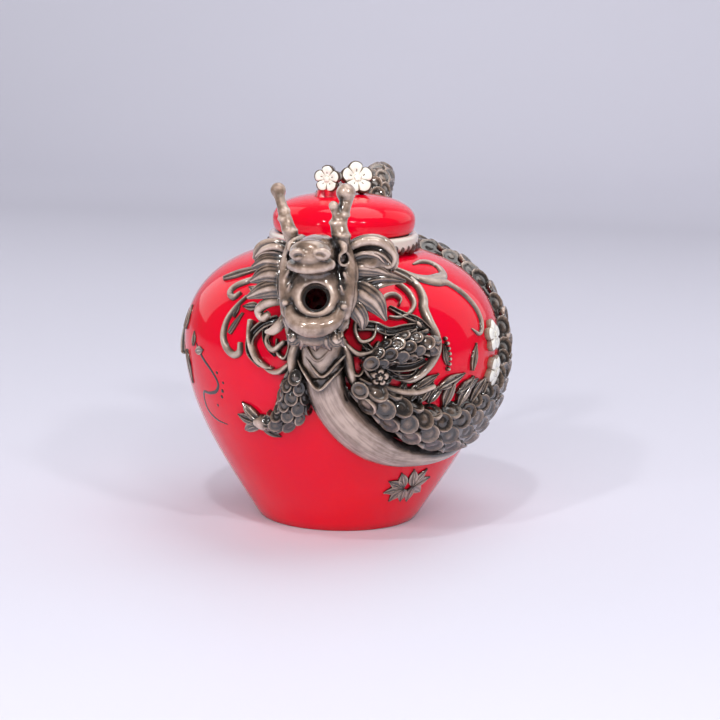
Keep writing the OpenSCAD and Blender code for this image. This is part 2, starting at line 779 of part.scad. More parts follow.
jar_body();
neck_collar();
collar_fringe();
lid_dome();
lid_flange();
finial_stub();
finial_blossom_left();
finial_blossom_right();
spout_tube();
dragon_head();
lower_jaw();
nose_pad();
left_horn();
right_horn();
left_ear();
right_ear();
left_eye();
right_eye();
left_mane();
right_mane();
beard();
left_whisker();
right_whisker();
dragon_neck();
belly_plate();
back_scales();
flank_body();
shoulder_body();
tail_handle();
tail_tuft();
dorsal_fins();
left_foreleg();
left_forepaw();
right_foreleg();
right_forepaw();
right_hind_leg();
right_hind_paw();
left_hind_leg();
left_hind_paw();
vine_upper();
vine_main();
scrolls_left();
bead_chain();
leaves_right();
plum_blossoms();
silver_blossom();
sprig_left();
leaf_cluster();
branch_back();
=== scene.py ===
"""Looks of a spouted ginger jar with a relief dragon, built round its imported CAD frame.

Every length in the dataclasses is in millimetres and every angle in degrees,
unless a name says otherwise. Meshes are turned into metres when they become
objects. The wall of the jar carries a chart: a place on it is an azimuth from
the front, a run up the outline from the foot, and a height off the glaze.
"""

from __future__ import annotations

import logging
from dataclasses import dataclass, field
from enum import Enum
from math import cos, exp, pi, radians, sin, sqrt
from typing import Callable, Iterable, Sequence

import bpy
import numpy as np
from mathutils import Matrix, Vector

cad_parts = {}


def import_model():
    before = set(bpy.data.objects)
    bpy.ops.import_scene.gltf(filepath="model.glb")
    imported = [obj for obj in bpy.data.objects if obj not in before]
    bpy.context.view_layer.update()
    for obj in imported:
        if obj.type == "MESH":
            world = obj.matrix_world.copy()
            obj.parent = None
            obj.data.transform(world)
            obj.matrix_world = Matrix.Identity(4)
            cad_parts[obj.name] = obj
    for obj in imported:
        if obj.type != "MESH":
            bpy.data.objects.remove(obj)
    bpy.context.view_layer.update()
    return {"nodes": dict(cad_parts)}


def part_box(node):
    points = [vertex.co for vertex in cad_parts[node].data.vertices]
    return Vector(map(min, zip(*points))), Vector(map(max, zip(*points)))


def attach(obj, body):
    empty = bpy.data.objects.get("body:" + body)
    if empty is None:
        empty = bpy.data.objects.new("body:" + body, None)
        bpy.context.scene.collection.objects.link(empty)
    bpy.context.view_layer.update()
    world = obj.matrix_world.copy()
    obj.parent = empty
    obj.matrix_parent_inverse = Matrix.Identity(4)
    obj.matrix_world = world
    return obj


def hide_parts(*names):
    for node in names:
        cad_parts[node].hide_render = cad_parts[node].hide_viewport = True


LOG = logging.getLogger("ginger_jar")
MM = 0.001
RISE = "rise"
STREAK = "streak"
# the lustre paints this low relief value dark, as painted shade between the scales
SUNK_RISE = 0.12  # relief value of the skin between scales
ROUND_TIP = (0.35, 0.65, 0.86, 0.97, 1.0)  # where a rounded tip is sampled
NO_CLAY = 50.0  # distance in an empty field

Path = Sequence[Sequence[float]]
Place = Sequence[float]
Array = np.ndarray
Triple = tuple[float, float, float]
Socket = bpy.types.NodeSocket
Material = bpy.types.Material
Thing = bpy.types.Object


class Body(Enum):
    """The rigid bodies that pieces ride on."""

    JAR = "jar"
    LID = "lid"


class Slot(Enum):
    """Names of material slots."""

    RED = "red_glaze"
    CREAM = "cream_glaze"
    DARK = "dark_glaze"
    SILVER = "silver_lustre"


class Section(Enum):
    """Cross-sections of a raised band, from its left edge to its right."""

    ROUND = "round"
    RIBBON = "ribbon"
    LEAF = "leaf"
    LOCK = "lock"


ROUND, RIBBON, LEAF, LOCK = Section


# --- Small numeric helpers ---


def unit(vectors: Array) -> Array:
    """Scales each row to length one.

    Args:
        vectors: Rows of three numbers, or one such row.

    Returns:
        The same rows, each of length one.
    """
    length = np.linalg.norm(vectors, axis=-1, keepdims=True)
    return vectors / np.maximum(length, 1e-9)


def smooth_path(points: Path, detail: int) -> Array:
    """Runs a Catmull-Rom curve through points.

    Args:
        points: The control points, of any dimension.
        detail: Samples in each span.

    Returns:
        The samples, from the first point to the last.
    """
    p = np.asarray(points, float)
    padded = np.vstack([2 * p[0] - p[1], p, 2 * p[-1] - p[-2]])
    t = (np.arange(detail) / detail)[:, None]
    spans = []
    for i in range(len(p) - 1):
        a, b, c, d = padded[i : i + 4]
        spans.append(
            0.5
            * (
                2 * b
                + (c - a) * t
                + (2 * a - 5 * b + 4 * c - d) * t**2
                + (3 * b - a - 3 * c + d) * t**3
            )
        )
    return np.vstack(spans + [p[-1][None]])


def bezier(points: Path, count: int) -> Array:
    """Samples a cubic Bezier curve.

    Args:
        points: Its four control points.
        count: How many samples to take.

    Returns:
        The samples, one row each.
    """
    p = np.asarray(points, float)
    t = np.linspace(0, 1, count)[:, None]
    return p[0] * (1 - t) ** 3 + 3 * p[1] * t * (1 - t) ** 2 + 3 * p[2] * t**2 * (1 - t) + p[3] * t**3


# --- Meshes in the making ---


@dataclass
class Form:
    """A mesh in millimetres with a relief value at each vertex, 0 deep and 1 proud."""

    verts: Array
    faces: list[Sequence[int]]
    rise: Array
    streak: Array | None = None

    def joined(self, *others: "Form") -> "Form":
        """Puts this form and others in one.

        Args:
            *others: The forms to add.

        Returns:
            A new form that holds them all.
        """
        verts, faces, rise, streak = [], [], [], []
        start = 0
        for form in (self, *others):
            verts.append(form.verts)
            rise.append(form.rise)
            streak.append(form.streak if form.streak is not None else np.zeros((len(form.verts), 2)))
            faces.extend([tuple(i + start for i in f) for f in form.faces])
            start += len(form.verts)
        return Form(np.vstack(verts), faces, np.concatenate(rise), np.vstack(streak))


def gathered(forms: Iterable[Form]) -> Form:
    """Joins a run of forms into one."""
    every = list(forms)
    return every[0].joined(*every[1:])


def make_object(name: str, form: Form) -> Thing:
    """Turns a form into an object, with its relief values kept as attributes.

    Args:
        name: The piece's name.
        form: The mesh, in millimetres.

    Returns:
        The object, at the origin, linked to the scene.
    """
    mesh = bpy.data.meshes.new(name)
    mesh.from_pydata((form.verts * MM).tolist(), [], [tuple(int(i) for i in f) for f in form.faces])
    mesh.attributes.new(RISE, "FLOAT", "POINT").data.foreach_set("value", form.rise.astype(np.float32))
    streak = form.streak if form.streak is not None else np.zeros((len(form.verts), 2))
    mesh.attributes.new(STREAK, "FLOAT2", "POINT").data.foreach_set(
        "vector", streak.astype(np.float32).ravel()
    )
    mesh.update()
    mesh.shade_smooth()
    obj = bpy.data.objects.new(name, mesh)
    bpy.context.scene.collection.objects.link(obj)
    return obj


def grid_faces(rows: int, columns: int, wrap: bool = True) -> list[tuple[int, ...]]:
    """Quads between successive rings of points.

    Args:
        rows: The number of rings.
        columns: The points in each ring.
        wrap: Whether a ring closes on itself.

    Returns:
        The quads, whose normals follow row direction crossed with column direction.
    """
    last = columns if wrap else columns - 1
    return [
        (k * columns + j, (k + 1) * columns + j, (k + 1) * columns + (j + 1) % columns,
            k * columns + (j + 1) % columns)
        for k in range(rows - 1)
        for j in range(last)
    ]


def capped_faces(rows: int, columns: int) -> list[tuple[int, ...]]:
    """The faces of a closed tube: quads between its rings and a cap on each end.

    Args:
        rows: The number of rings.
        columns: The points in each ring.

    Returns:
        The faces.
    """
    last = (rows - 1) * columns
    return grid_faces(rows, columns) + [tuple(range(columns)), tuple(last + j for j in reversed(range(columns)))]


def button_faces(rings: int, columns: int) -> list[tuple[int, ...]]:
    """The faces of a button: a pole, rings of points, and a second pole underneath.

    Args:
        rings: The number of rings between the poles.
        columns: The points in each ring.

    Returns:
        The faces.
    """
    last, pole = 1 + (rings - 1) * columns, 1 + rings * columns
    faces = [(0, 1 + j, 1 + (j + 1) % columns) for j in range(columns)]
    faces += [tuple(1 + i for i in face) for face in grid_faces(rings, columns)]
    return faces + [(last + j, pole, last + (j + 1) % columns) for j in range(columns)]


def travelled(points: Array) -> Array:
    """The length walked at each of a line's points.

    Args:
        points: The line's points, one row each.

    Returns:
        One length a point, from zero.
    """
    return np.concatenate([[0], np.cumsum(np.linalg.norm(np.diff(points, axis=0), axis=1))])


def section_shape(kind: Section) -> Array:
    """The top of a band's section.

    Args:
        kind: Which section.

    Returns:
        Rows of (share across from -1 to 1, share of the height, relief value).
    """
    if kind is ROUND:
        b = np.linspace(180, 0, 13)
        s = np.sin(np.radians(b))
        return np.stack([np.cos(np.radians(b)), s, 0.25 + 0.75 * s], 1)
    if kind is RIBBON:
        half = [(1.0, 0.0, 0.15), (0.97, 0.5, 0.5), (0.86, 0.86, 0.9), (0.7, 1.0, 1.0), (0.52, 0.88, 0.8),
            (0.36, 0.62, 0.3), (0.18, 0.5, 0.1)]
    elif kind is LEAF:
        half = [(1.0, 0.0, 0.15), (0.96, 0.5, 0.55), (0.84, 0.74, 0.95), (0.62, 0.66, 0.6), (0.36, 0.58, 0.35),
            (0.14, 0.64, 0.3), (0.06, 0.9, 0.9)]
    else:
        half = [(1.0, 0.0, 0.1), (0.95, 0.45, 0.5), (0.8, 0.72, 0.9), (0.66, 0.62, 0.3), (0.5, 0.92, 1.0),
            (0.33, 0.76, 0.3), (0.15, 1.0, 1.0)]
    right = np.array(half)
    left = right * np.array([-1, 1, 1])
    middle = np.array([[0.0, right[-1, 1] + (0.06 if kind is LEAF else -0.02), right[-1, 2]]])
    return np.vstack([left, middle, right[::-1]])


def rounded_ends(path: Array, start: bool, end: bool) -> Array:
    """Adds samples that close a band with rounded tips.

    Args:
        path: Samples whose last two columns are width and height.
        start: Whether to round the first end.
        end: Whether to round the last end.

    Returns:
        The samples, with the added ones.
    """
    def cap(tip: Array, inner: Array) -> Array:
        """The samples past one end of a band.

        Args:
            tip: The end's row.
            inner: The row before it.

        Returns:
            The rows, going outwards.
        """
        step = tip - inner
        step[-2:] = 0
        rows = []
        for x in ROUND_TIP:
            row = tip + step * x
            row[-2:] *= sqrt(max(1 - x * x, 0.0004))
            rows.append(row)
        return np.array(rows)

    parts = [path]
    if start:
        parts.insert(0, cap(path[0].copy(), path[1].copy())[::-1])
    if end:
        parts.append(cap(path[-1].copy(), path[-2].copy()))
    return np.vstack(parts)


def widened(path: Path, share: float, lower: float = 1.0) -> list[tuple[float, ...]]:
    """Scales the widths and heights of a band's rows.

    Args:
        path: Rows of (azimuth, run, width, height).
        share: What the widths are multiplied by.
        lower: What the heights are multiplied by.

    Returns:
        The new rows.
    """
    return [(a, s, w * share, h * lower) for a, s, w, h in path]


# --- The jar's outline and the chart of its wall ---


@dataclass(frozen=True)
class JarOutline:
    """The outside curve of the jar, from its foot to the root of its neck."""

    foot_r: float = 37.0
    belly_r: float = 72.0
    belly_z: float = 81.0
    neck_root_r: float = 36.5
    shoulder_z: float = 122.5
    flare_in: float = 0.37
    flare_up: float = 0.27
    lower_hold: float = 0.62
    upper_hold: float = 0.53
    shoulder_out: float = 0.6
    shoulder_drop: float = 0.13

    @classmethod
    def from_frame(cls) -> "JarOutline":
        """Reads the belly's radius from the frame and keeps the other sizes."""
        low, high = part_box("jar_body")
        return cls(belly_r=round((high.x - low.x) / 2 / MM, 1))

    def samples(self, count: int = 240) -> Array:
        """Samples the curve.

        Args:
            count: Samples in each of its two halves.

        Returns:
            Rows of (radius, height), from the foot up.
        """
        rise = self.shoulder_z - self.belly_z
        lower = bezier(
            [
                (self.foot_r, 0),
                (self.foot_r + self.flare_in * (self.belly_r - self.foot_r), self.flare_up * self.belly_z),
                (self.belly_r, self.lower_hold * self.belly_z),
                (self.belly_r, self.belly_z),
            ],
            count,
        )
        upper = bezier(
            [
                (self.belly_r, self.belly_z),
                (self.belly_r, self.belly_z + self.upper_hold * rise),
                (self.neck_root_r + self.shoulder_out * (self.belly_r - self.neck_root_r),
                    self.shoulder_z - self.shoulder_drop * rise),
                (self.neck_root_r, self.shoulder_z),
            ],
            count,
        )
        return np.vstack([lower, upper[1:]])


class WallChart:
    """Turns azimuth, run and height into points, for the jar's wall."""

    def __init__(self, outline: JarOutline) -> None:
        """Measures the outline.

        Args:
            outline: The jar's outside curve.
        """
        self.curve = outline.samples()
        self.run = travelled(self.curve)

    def radius(self, run: Array) -> Array:
        """The wall's radius at a run."""
        return np.interp(run, self.run, self.curve[:, 0])

    def level(self, run: Array) -> Array:
        """The wall's height above the foot at a run."""
        return np.interp(run, self.run, self.curve[:, 1])

    def lean(self, run: Array) -> Array:
        """The wall's angle from the vertical, positive where it flares as it rises.

        Args:
            run: Length up the outline.

        Returns:
            The angle in radians.
        """
        run = np.asarray(run, float)
        return np.arctan2(self.radius(run + 2) - self.radius(run - 2), self.level(run + 2) - self.level(run - 2))

    def per_degree(self, run: Array) -> Array:
        """Millimetres across the wall for one degree of azimuth."""
        return self.radius(run) * pi / 180

    def points(self, azimuth: Array, run: Array, height: Array) -> Array:
        """Places points off the wall.

        Args:
            azimuth: Degrees from the front, towards +X.
            run: Length up the outline.
            height: Distance off the wall, along its normal.

        Returns:
            Points in space, with the shape of the inputs and three columns.
        """
        azimuth, run, height = np.broadcast_arrays(*(np.asarray(v, float) for v in (azimuth, run, height)))
        lean, a = self.lean(run), np.radians(azimuth)
        r = self.radius(run) + height * np.cos(lean)
        return np.stack([r * np.sin(a), -r * np.cos(a), self.level(run) - height * np.sin(lean)], -1)

    def frame(self, azimuth: Array, run: Array) -> tuple[Array, Array, Array]:
        """Directions at places on the wall.

        Args:
            azimuth: Degrees from the front.
            run: Length up the outline.

        Returns:
            The outward, sideways and upward unit vectors.
        """
        azimuth, run = np.broadcast_arrays(np.asarray(azimuth, float), np.asarray(run, float))
        lean, a = self.lean(run), np.radians(azimuth)
        out = np.stack([np.cos(lean) * np.sin(a), -np.cos(lean) * np.cos(a), -np.sin(lean)], -1)
        side = np.stack([np.cos(a), np.sin(a), np.zeros_like(a)], -1)
        return out, side, np.cross(out, side)

    def band(
        self,
        path: Path,
        kind: Section = ROUND,
        detail: int = 8,
        sink: float = 0.5,
        ends: tuple[bool, bool] = (True, True),
    ) -> Form:
        """Raises a band along a path on the wall.

        Args:
            path: Rows of (azimuth, run, width, height).
            kind: The band's section.
            detail: Samples in each span of the path.
            sink: How far its underside lies in the wall.
            ends: Whether each end is rounded off.

        Returns:
            A closed mesh.
        """
        line = smooth_path(path, detail)
        line[:, 2:] = np.maximum(line[:, 2:], 0.05)
        line = rounded_ends(line, *ends)
        top = section_shape(kind)
        under = np.array([[0.9, -1, 0.0], [0.45, -1, 0.0], [0.0, -1, 0.0], [-0.45, -1, 0.0], [-0.9, -1, 0.0]])
        loop = np.vstack([top, under])
        k = self.per_degree(line[:, 1])
        step = np.gradient(line[:, :2], axis=0)
        heading = np.arctan2(step[:, 1], step[:, 0] * k) - pi / 2
        across = loop[:, 0][None] * line[:, 2][:, None] / 2
        azimuth = line[:, 0][:, None] + across * np.cos(heading)[:, None] / k[:, None]
        run = line[:, 1][:, None] + across * np.sin(heading)[:, None]
        high = np.where(loop[:, 1][None] < 0, -sink, loop[:, 1][None] * line[:, 3][:, None])
        verts = self.points(azimuth, run, high).reshape(-1, 3)
        rows, columns = len(line), len(loop)
        rise = np.tile(loop[:, 2], rows)
        along = travelled(verts.reshape(rows, columns, 3)[:, columns // 3])
        streak = np.stack([np.repeat(along, columns), across.ravel()], 1)
        return outward(Form(verts, capped_faces(rows, columns), rise, streak))


def outward(form: Form) -> Form:
    """Turns a closed form right side out.

    Args:
        form: A closed mesh with consistent faces.

    Returns:
        The same form, with its faces reversed if it enclosed a negative volume.
    """
    v = form.verts - form.verts.mean(0)
    volume = 0.0
    for f in form.faces:
        for a, b in zip(f[1:-1], f[2:]):
            volume += float(np.dot(v[f[0]], np.cross(v[a], v[b])))
    if volume < 0:
        form.faces = [tuple(reversed(f)) for f in form.faces]
    return form


def sweep(path: Path, facing: Place, kind: Section = ROUND, detail: int = 6, closed_back: float = 0.55) -> Form:
    """Sweeps a lock, horn or leaf through open space.

    Args:
        path: Rows of (x, y, z, width, thickness).
        facing: The direction that the section's top looks.
        kind: The section of its front.
        detail: Samples in each span.
        closed_back: Depth of its rounded back, as a share of the thickness.

    Returns:
        A closed mesh.
    """
    line = rounded_ends(smooth_path(path, detail), True, True)
    along = unit(np.gradient(line[:, :3], axis=0))
    up = np.asarray(facing, float)[None] - (along @ np.asarray(facing, float))[:, None] * along
    up = unit(up)
    side = np.cross(along, up)
    top = section_shape(kind)
    b = np.radians(np.linspace(0, -180, 8)[1:-1])
    back = np.stack([np.cos(b), closed_back * np.sin(b), np.full_like(b, 0.2)], 1)
    loop = np.vstack([top, back])
    verts = (
        line[:, None, :3]
        + side[:, None] * (loop[:, 0][None, :, None] * line[:, 3][:, None, None] / 2)
        + up[:, None] * (loop[:, 1][None, :, None] * line[:, 4][:, None, None] / 2)
    )
    rows, columns = len(line), len(loop)
    across = (loop[:, 0][None] * line[:, 3][:, None]).ravel()
    streak = np.stack([np.repeat(travelled(line[:, :3]), columns), across], 1)
    return outward(Form(verts.reshape(-1, 3), capped_faces(rows, columns), np.tile(loop[:, 2], rows), streak))


def lathe(profile: Array, segments: int, closed: bool = True) -> Form:
    """Turns a profile about the jar's axis.

    Args:
        profile: Rows of (radius, height). Radii of zero become poles.
        segments: Facets round the axis.
        closed: Whether the profile's last point joins its first.

    Returns:
        The turned mesh.
    """
    a = np.linspace(0, 2 * pi, segments, endpoint=False)
    verts: list[Array] = []
    index: list[list[int]] = []
    total = 0
    for r, z in profile:
        if r < 1e-6:
            verts.append(np.array([[0, 0, z]]))
            index.append([total] * segments)
            total += 1
        else:
            verts.append(np.stack([r * np.cos(a), r * np.sin(a), np.full(segments, z)], 1))
            index.append(list(range(total, total + segments)))
            total += segments
    faces: list[Sequence[int]] = []
    pairs = list(zip(index[:-1], index[1:])) + ([(index[-1], index[0])] if closed else [])
    for one, two in pairs:
        for j in range(segments):
            n = (j + 1) % segments
            face = list(dict.fromkeys([one[j], one[n], two[n], two[j]]))
            if len(face) > 2:
                faces.append(tuple(face))
    return outward(Form(np.vstack(verts), faces, np.ones(total)))


# --- Clay: soft shapes joined and cut as a distance field ---


class Clay:
    """A lump of clay on a grid, built from strands and balls and skinned at the end."""

    def __init__(self, low: Place, high: Place, pitch: float) -> None:
        """Lays out the grid.

        Args:
            low: Its lowest corner.
            high: Its highest corner.
            pitch: The grid's spacing.
        """
        self.low = np.asarray(low, float)
        self.pitch = pitch
        counts = np.ceil((np.asarray(high, float) - self.low) / pitch).astype(int) + 1
        self.axes = [self.low[i] + pitch * np.arange(counts[i]) for i in range(3)]
        self.field = np.full(tuple(counts), NO_CLAY)

    def _window(self, low: Array, high: Array) -> tuple[tuple[slice, ...], Array]:
        """Picks the part of the grid near a box.

        Args:
            low: The box's lowest corner.
            high: Its highest corner.

        Returns:
            The slices of the grid, and the points in them.
        """
        spans = []
        for i in range(3):
            a = int(np.searchsorted(self.axes[i], low[i]))
            b = int(np.searchsorted(self.axes[i], high[i]))
            spans.append(slice(max(a - 1, 0), min(b + 1, len(self.axes[i]))))
        grid = np.stack(np.meshgrid(*(self.axes[i][spans[i]] for i in range(3)), indexing="ij"), -1)
        return tuple(spans), grid

    def _merge(self, spans: tuple[slice, ...], distance: Array, blend: float, cut: bool) -> None:
        """Joins or cuts a shape.

        Args:
            spans: The part of the grid that it touches.
            distance: Its distance field there.
            blend: The size of the fillet.
            cut: Whether it is cut away.
        """
        now = self.field[spans]
        if cut:
            h = np.clip(0.5 + 0.5 * (now + distance) / blend, 0, 1)
            self.field[spans] = -distance * (1 - h) + now * h + blend * h * (1 - h)
        else:
            h = np.clip(0.5 + 0.5 * (now - distance) / blend, 0, 1)
            self.field[spans] = now * (1 - h) + distance * h - blend * h * (1 - h)

    def strand(self, path: Path, blend: float = 1.0, detail: int = 4, cut: bool = False) -> "Clay":
        """Adds or cuts a tapering strand.

        Args:
            path: Rows of (x, y, z, radius).
            blend: The fillet where it meets the rest.
            detail: Samples in each span.
            cut: Whether it is cut away.

        Returns:
            This lump.
        """
        line = smooth_path(path, detail) if len(path) > 2 else np.asarray(path, float)
        reach = line[:, 3].max() + blend + 2 * self.pitch
        spans, grid = self._window(line[:, :3].min(0) - reach, line[:, :3].max(0) + reach)
        best = np.full(grid.shape[:3], NO_CLAY)
        for a, b in zip(line[:-1], line[1:]):
            ab = b[:3] - a[:3]
            t = np.clip(((grid - a[:3]) @ ab) / max(float(ab @ ab), 1e-9), 0, 1)
            near = np.linalg.norm(grid - a[:3] - t[..., None] * ab, axis=-1) - (a[3] + t * (b[3] - a[3]))
            best = np.minimum(best, near)
        self._merge(spans, best, blend, cut)
        return self

    def ball(self, centre: Place, radii: Place, blend: float = 1.0, cut: bool = False) -> "Clay":
        """Adds or cuts an ellipsoid.

        Args:
            centre: Its middle.
            radii: Its three radii.
            blend: The fillet where it meets the rest.
            cut: Whether it is cut away.

        Returns:
            This lump.
        """
        c, r = np.asarray(centre, float), np.asarray(radii, float)
        reach = r.max() + blend + 2 * self.pitch
        spans, grid = self._window(c - reach, c + reach)
        k = np.linalg.norm((grid - c) / r, axis=-1)
        k2 = np.linalg.norm((grid - c) / r**2, axis=-1)
        self._merge(spans, k * (k - 1) / np.maximum(k2, 1e-6), blend, cut)
        return self

    def ring(self, centre: Place, axis: Place, radius: float, thickness: float, blend: float = 1.0) -> "Clay":
        """Adds a torus.

        Args:
            centre: Its middle.
            axis: The direction through its hole.
            radius: The radius of its core circle.
            thickness: The radius of its tube.
            blend: The fillet where it meets the rest.

        Returns:
            This lump.
        """
        c, n = np.asarray(centre, float), unit(np.asarray(axis, float))
        reach = radius + thickness + blend + 2 * self.pitch
        spans, grid = self._window(c - reach, c + reach)
        d = grid - c
        along = d @ n
        flat = np.linalg.norm(d - along[..., None] * n, axis=-1) - radius
        self._merge(spans, np.hypot(flat, along) - thickness, blend, False)
        return self

    def tunnel(self, start: Place, end: Place, radius: float, blend: float = 0.4) -> "Clay":
        """Cuts a straight round hole."""
        return self.strand([(*start, radius), (*end, radius)], blend, cut=True)

    def skin(self) -> Form:
        """Wraps the lump in a mesh.

        Returns:
            A closed mesh of quads, with relief values from how hollow the clay is round each vertex.
        """
        f = self.field
        inside = f < 0
        corner = [inside[i : f.shape[0] - 1 + i, j : f.shape[1] - 1 + j, k : f.shape[2] - 1 + k] for i in (0, 1)
            for j in (0, 1) for k in (0, 1)]
        count = sum(c.astype(np.int8) for c in corner)
        cells = np.argwhere((count > 0) & (count < 8))
        ids = np.full(tuple(n - 1 for n in f.shape), -1, dtype=np.int64)
        ids[tuple(cells.T)] = np.arange(len(cells))
        total = np.zeros((len(cells), 3))
        weight = np.zeros(len(cells))
        offsets = [(i, j, k) for i in (0, 1) for j in (0, 1) for k in (0, 1)]
        for one in offsets:
            for axis in range(3):
                if one[axis]:
                    continue
                two = tuple(v + (1 if n == axis else 0) for n, v in enumerate(one))
                a = f[tuple((cells + one).T)]
                b = f[tuple((cells + two).T)]
                crossing = (a < 0) != (b < 0)
                t = np.where(crossing, a / np.where(crossing, a - b, 1), 0)
                spot = cells + np.array(one) + t[:, None] * (np.array(two) - np.array(one))
                total += spot * crossing[:, None]
                weight += crossing
        verts = self.low + self.pitch * total / weight[:, None]
        faces: list[Array] = []
        for axis in range(3):
            u, v = (axis + 1) % 3, (axis + 2) % 3
            first = inside.take(range(f.shape[axis] - 1), axis)
            second = inside.take(range(1, f.shape[axis]), axis)
            edges = np.argwhere(first != second)
            edges = edges[(edges[:, u] > 0) & (edges[:, v] > 0) & (edges[:, u] < f.shape[u] - 1) & (
                edges[:, v] < f.shape[v] - 1)]
            flip = first[tuple(edges.T)]
            eu, ev = np.eye(3, dtype=int)[u], np.eye(3, dtype=int)[v]
            quad = np.stack([ids[tuple((edges - eu - ev).T)], ids[tuple((edges - ev).T)], ids[tuple(edges.T)],
                ids[tuple((edges - eu).T)]], 1)
            faces.append(np.where(flip[:, None], quad, quad[:, ::-1]))
        quads = np.vstack(faces)
        verts = self._relaxed(verts, quads)
        return Form(verts, quads.tolist(), self._hollowness(verts), np.zeros((len(verts), 2)))

    def _relaxed(self, verts: Array, quads: Array) -> Array:
        """Evens out the grid's steps without shrinking the shape.

        Args:
            verts: The points of the skin.
            quads: Its faces.

        Returns:
            The points, moved.
        """
        pairs = np.vstack([quads[:, [i, (i + 1) % 4]] for i in range(4)])
        degree = np.bincount(pairs.ravel(), minlength=len(verts))[:, None]
        for share in (0.5, -0.52) * 4:
            total = np.zeros_like(verts)
            for k in range(3):
                total[:, k] = np.bincount(pairs[:, 0], verts[pairs[:, 1], k], len(verts)) + np.bincount(pairs[:, 1],
                    verts[pairs[:, 0], k], len(verts))
            verts = verts + share * (total / degree - verts)
        return verts

    def _hollowness(self, verts: Array) -> Array:
        """Measures how hollow the clay is round each point.

        Args:
            verts: The points of the skin.

        Returns:
            Relief values from 0 to 1, from the mean distance to clay nearby; the lustre paints low ones dark as
            shade.
        """
        reach = max(1, round(1.6 / self.pitch))
        f = np.clip(self.field, -3, 3)
        blurred = f
        for axis in range(3):
            blurred = sum(np.roll(blurred, s, axis) for s in range(-reach, reach + 1)) / (2 * reach + 1)
        place = (verts - self.low) / self.pitch
        cell = np.clip(np.floor(place).astype(int), 0, np.array(f.shape) - 2)
        part = np.clip(place - cell, 0, 1)
        there = np.zeros(len(verts))
        for step in np.ndindex(2, 2, 2):
            share = np.prod(np.where(step, part, 1 - part), axis=1)
            there += share * blurred[tuple((cell + step).T)]
        return np.clip(0.5 + there * 1.1, 0, 1)


# --- Geometry Nodes for what repeats ---


@dataclass
class Marks:
    """Places where a stamp is pressed: where, which way it faces, which way it grows, how large."""

    at: list[Array] = field(default_factory=list)
    face: list[Array] = field(default_factory=list)
    grow: list[Array] = field(default_factory=list)
    size: list[Triple] = field(default_factory=list)

    def add(self, at: Array, face: Array, grow: Array, size: Triple) -> None:
        """Adds one mark.

        Args:
            at: Its place, in millimetres.
            face: The way the stamp faces.
            grow: The way it grows.
            size: Its length, width and height.
        """
        self.at.append(at)
        self.face.append(face)
        self.grow.append(grow)
        self.size.append(size)


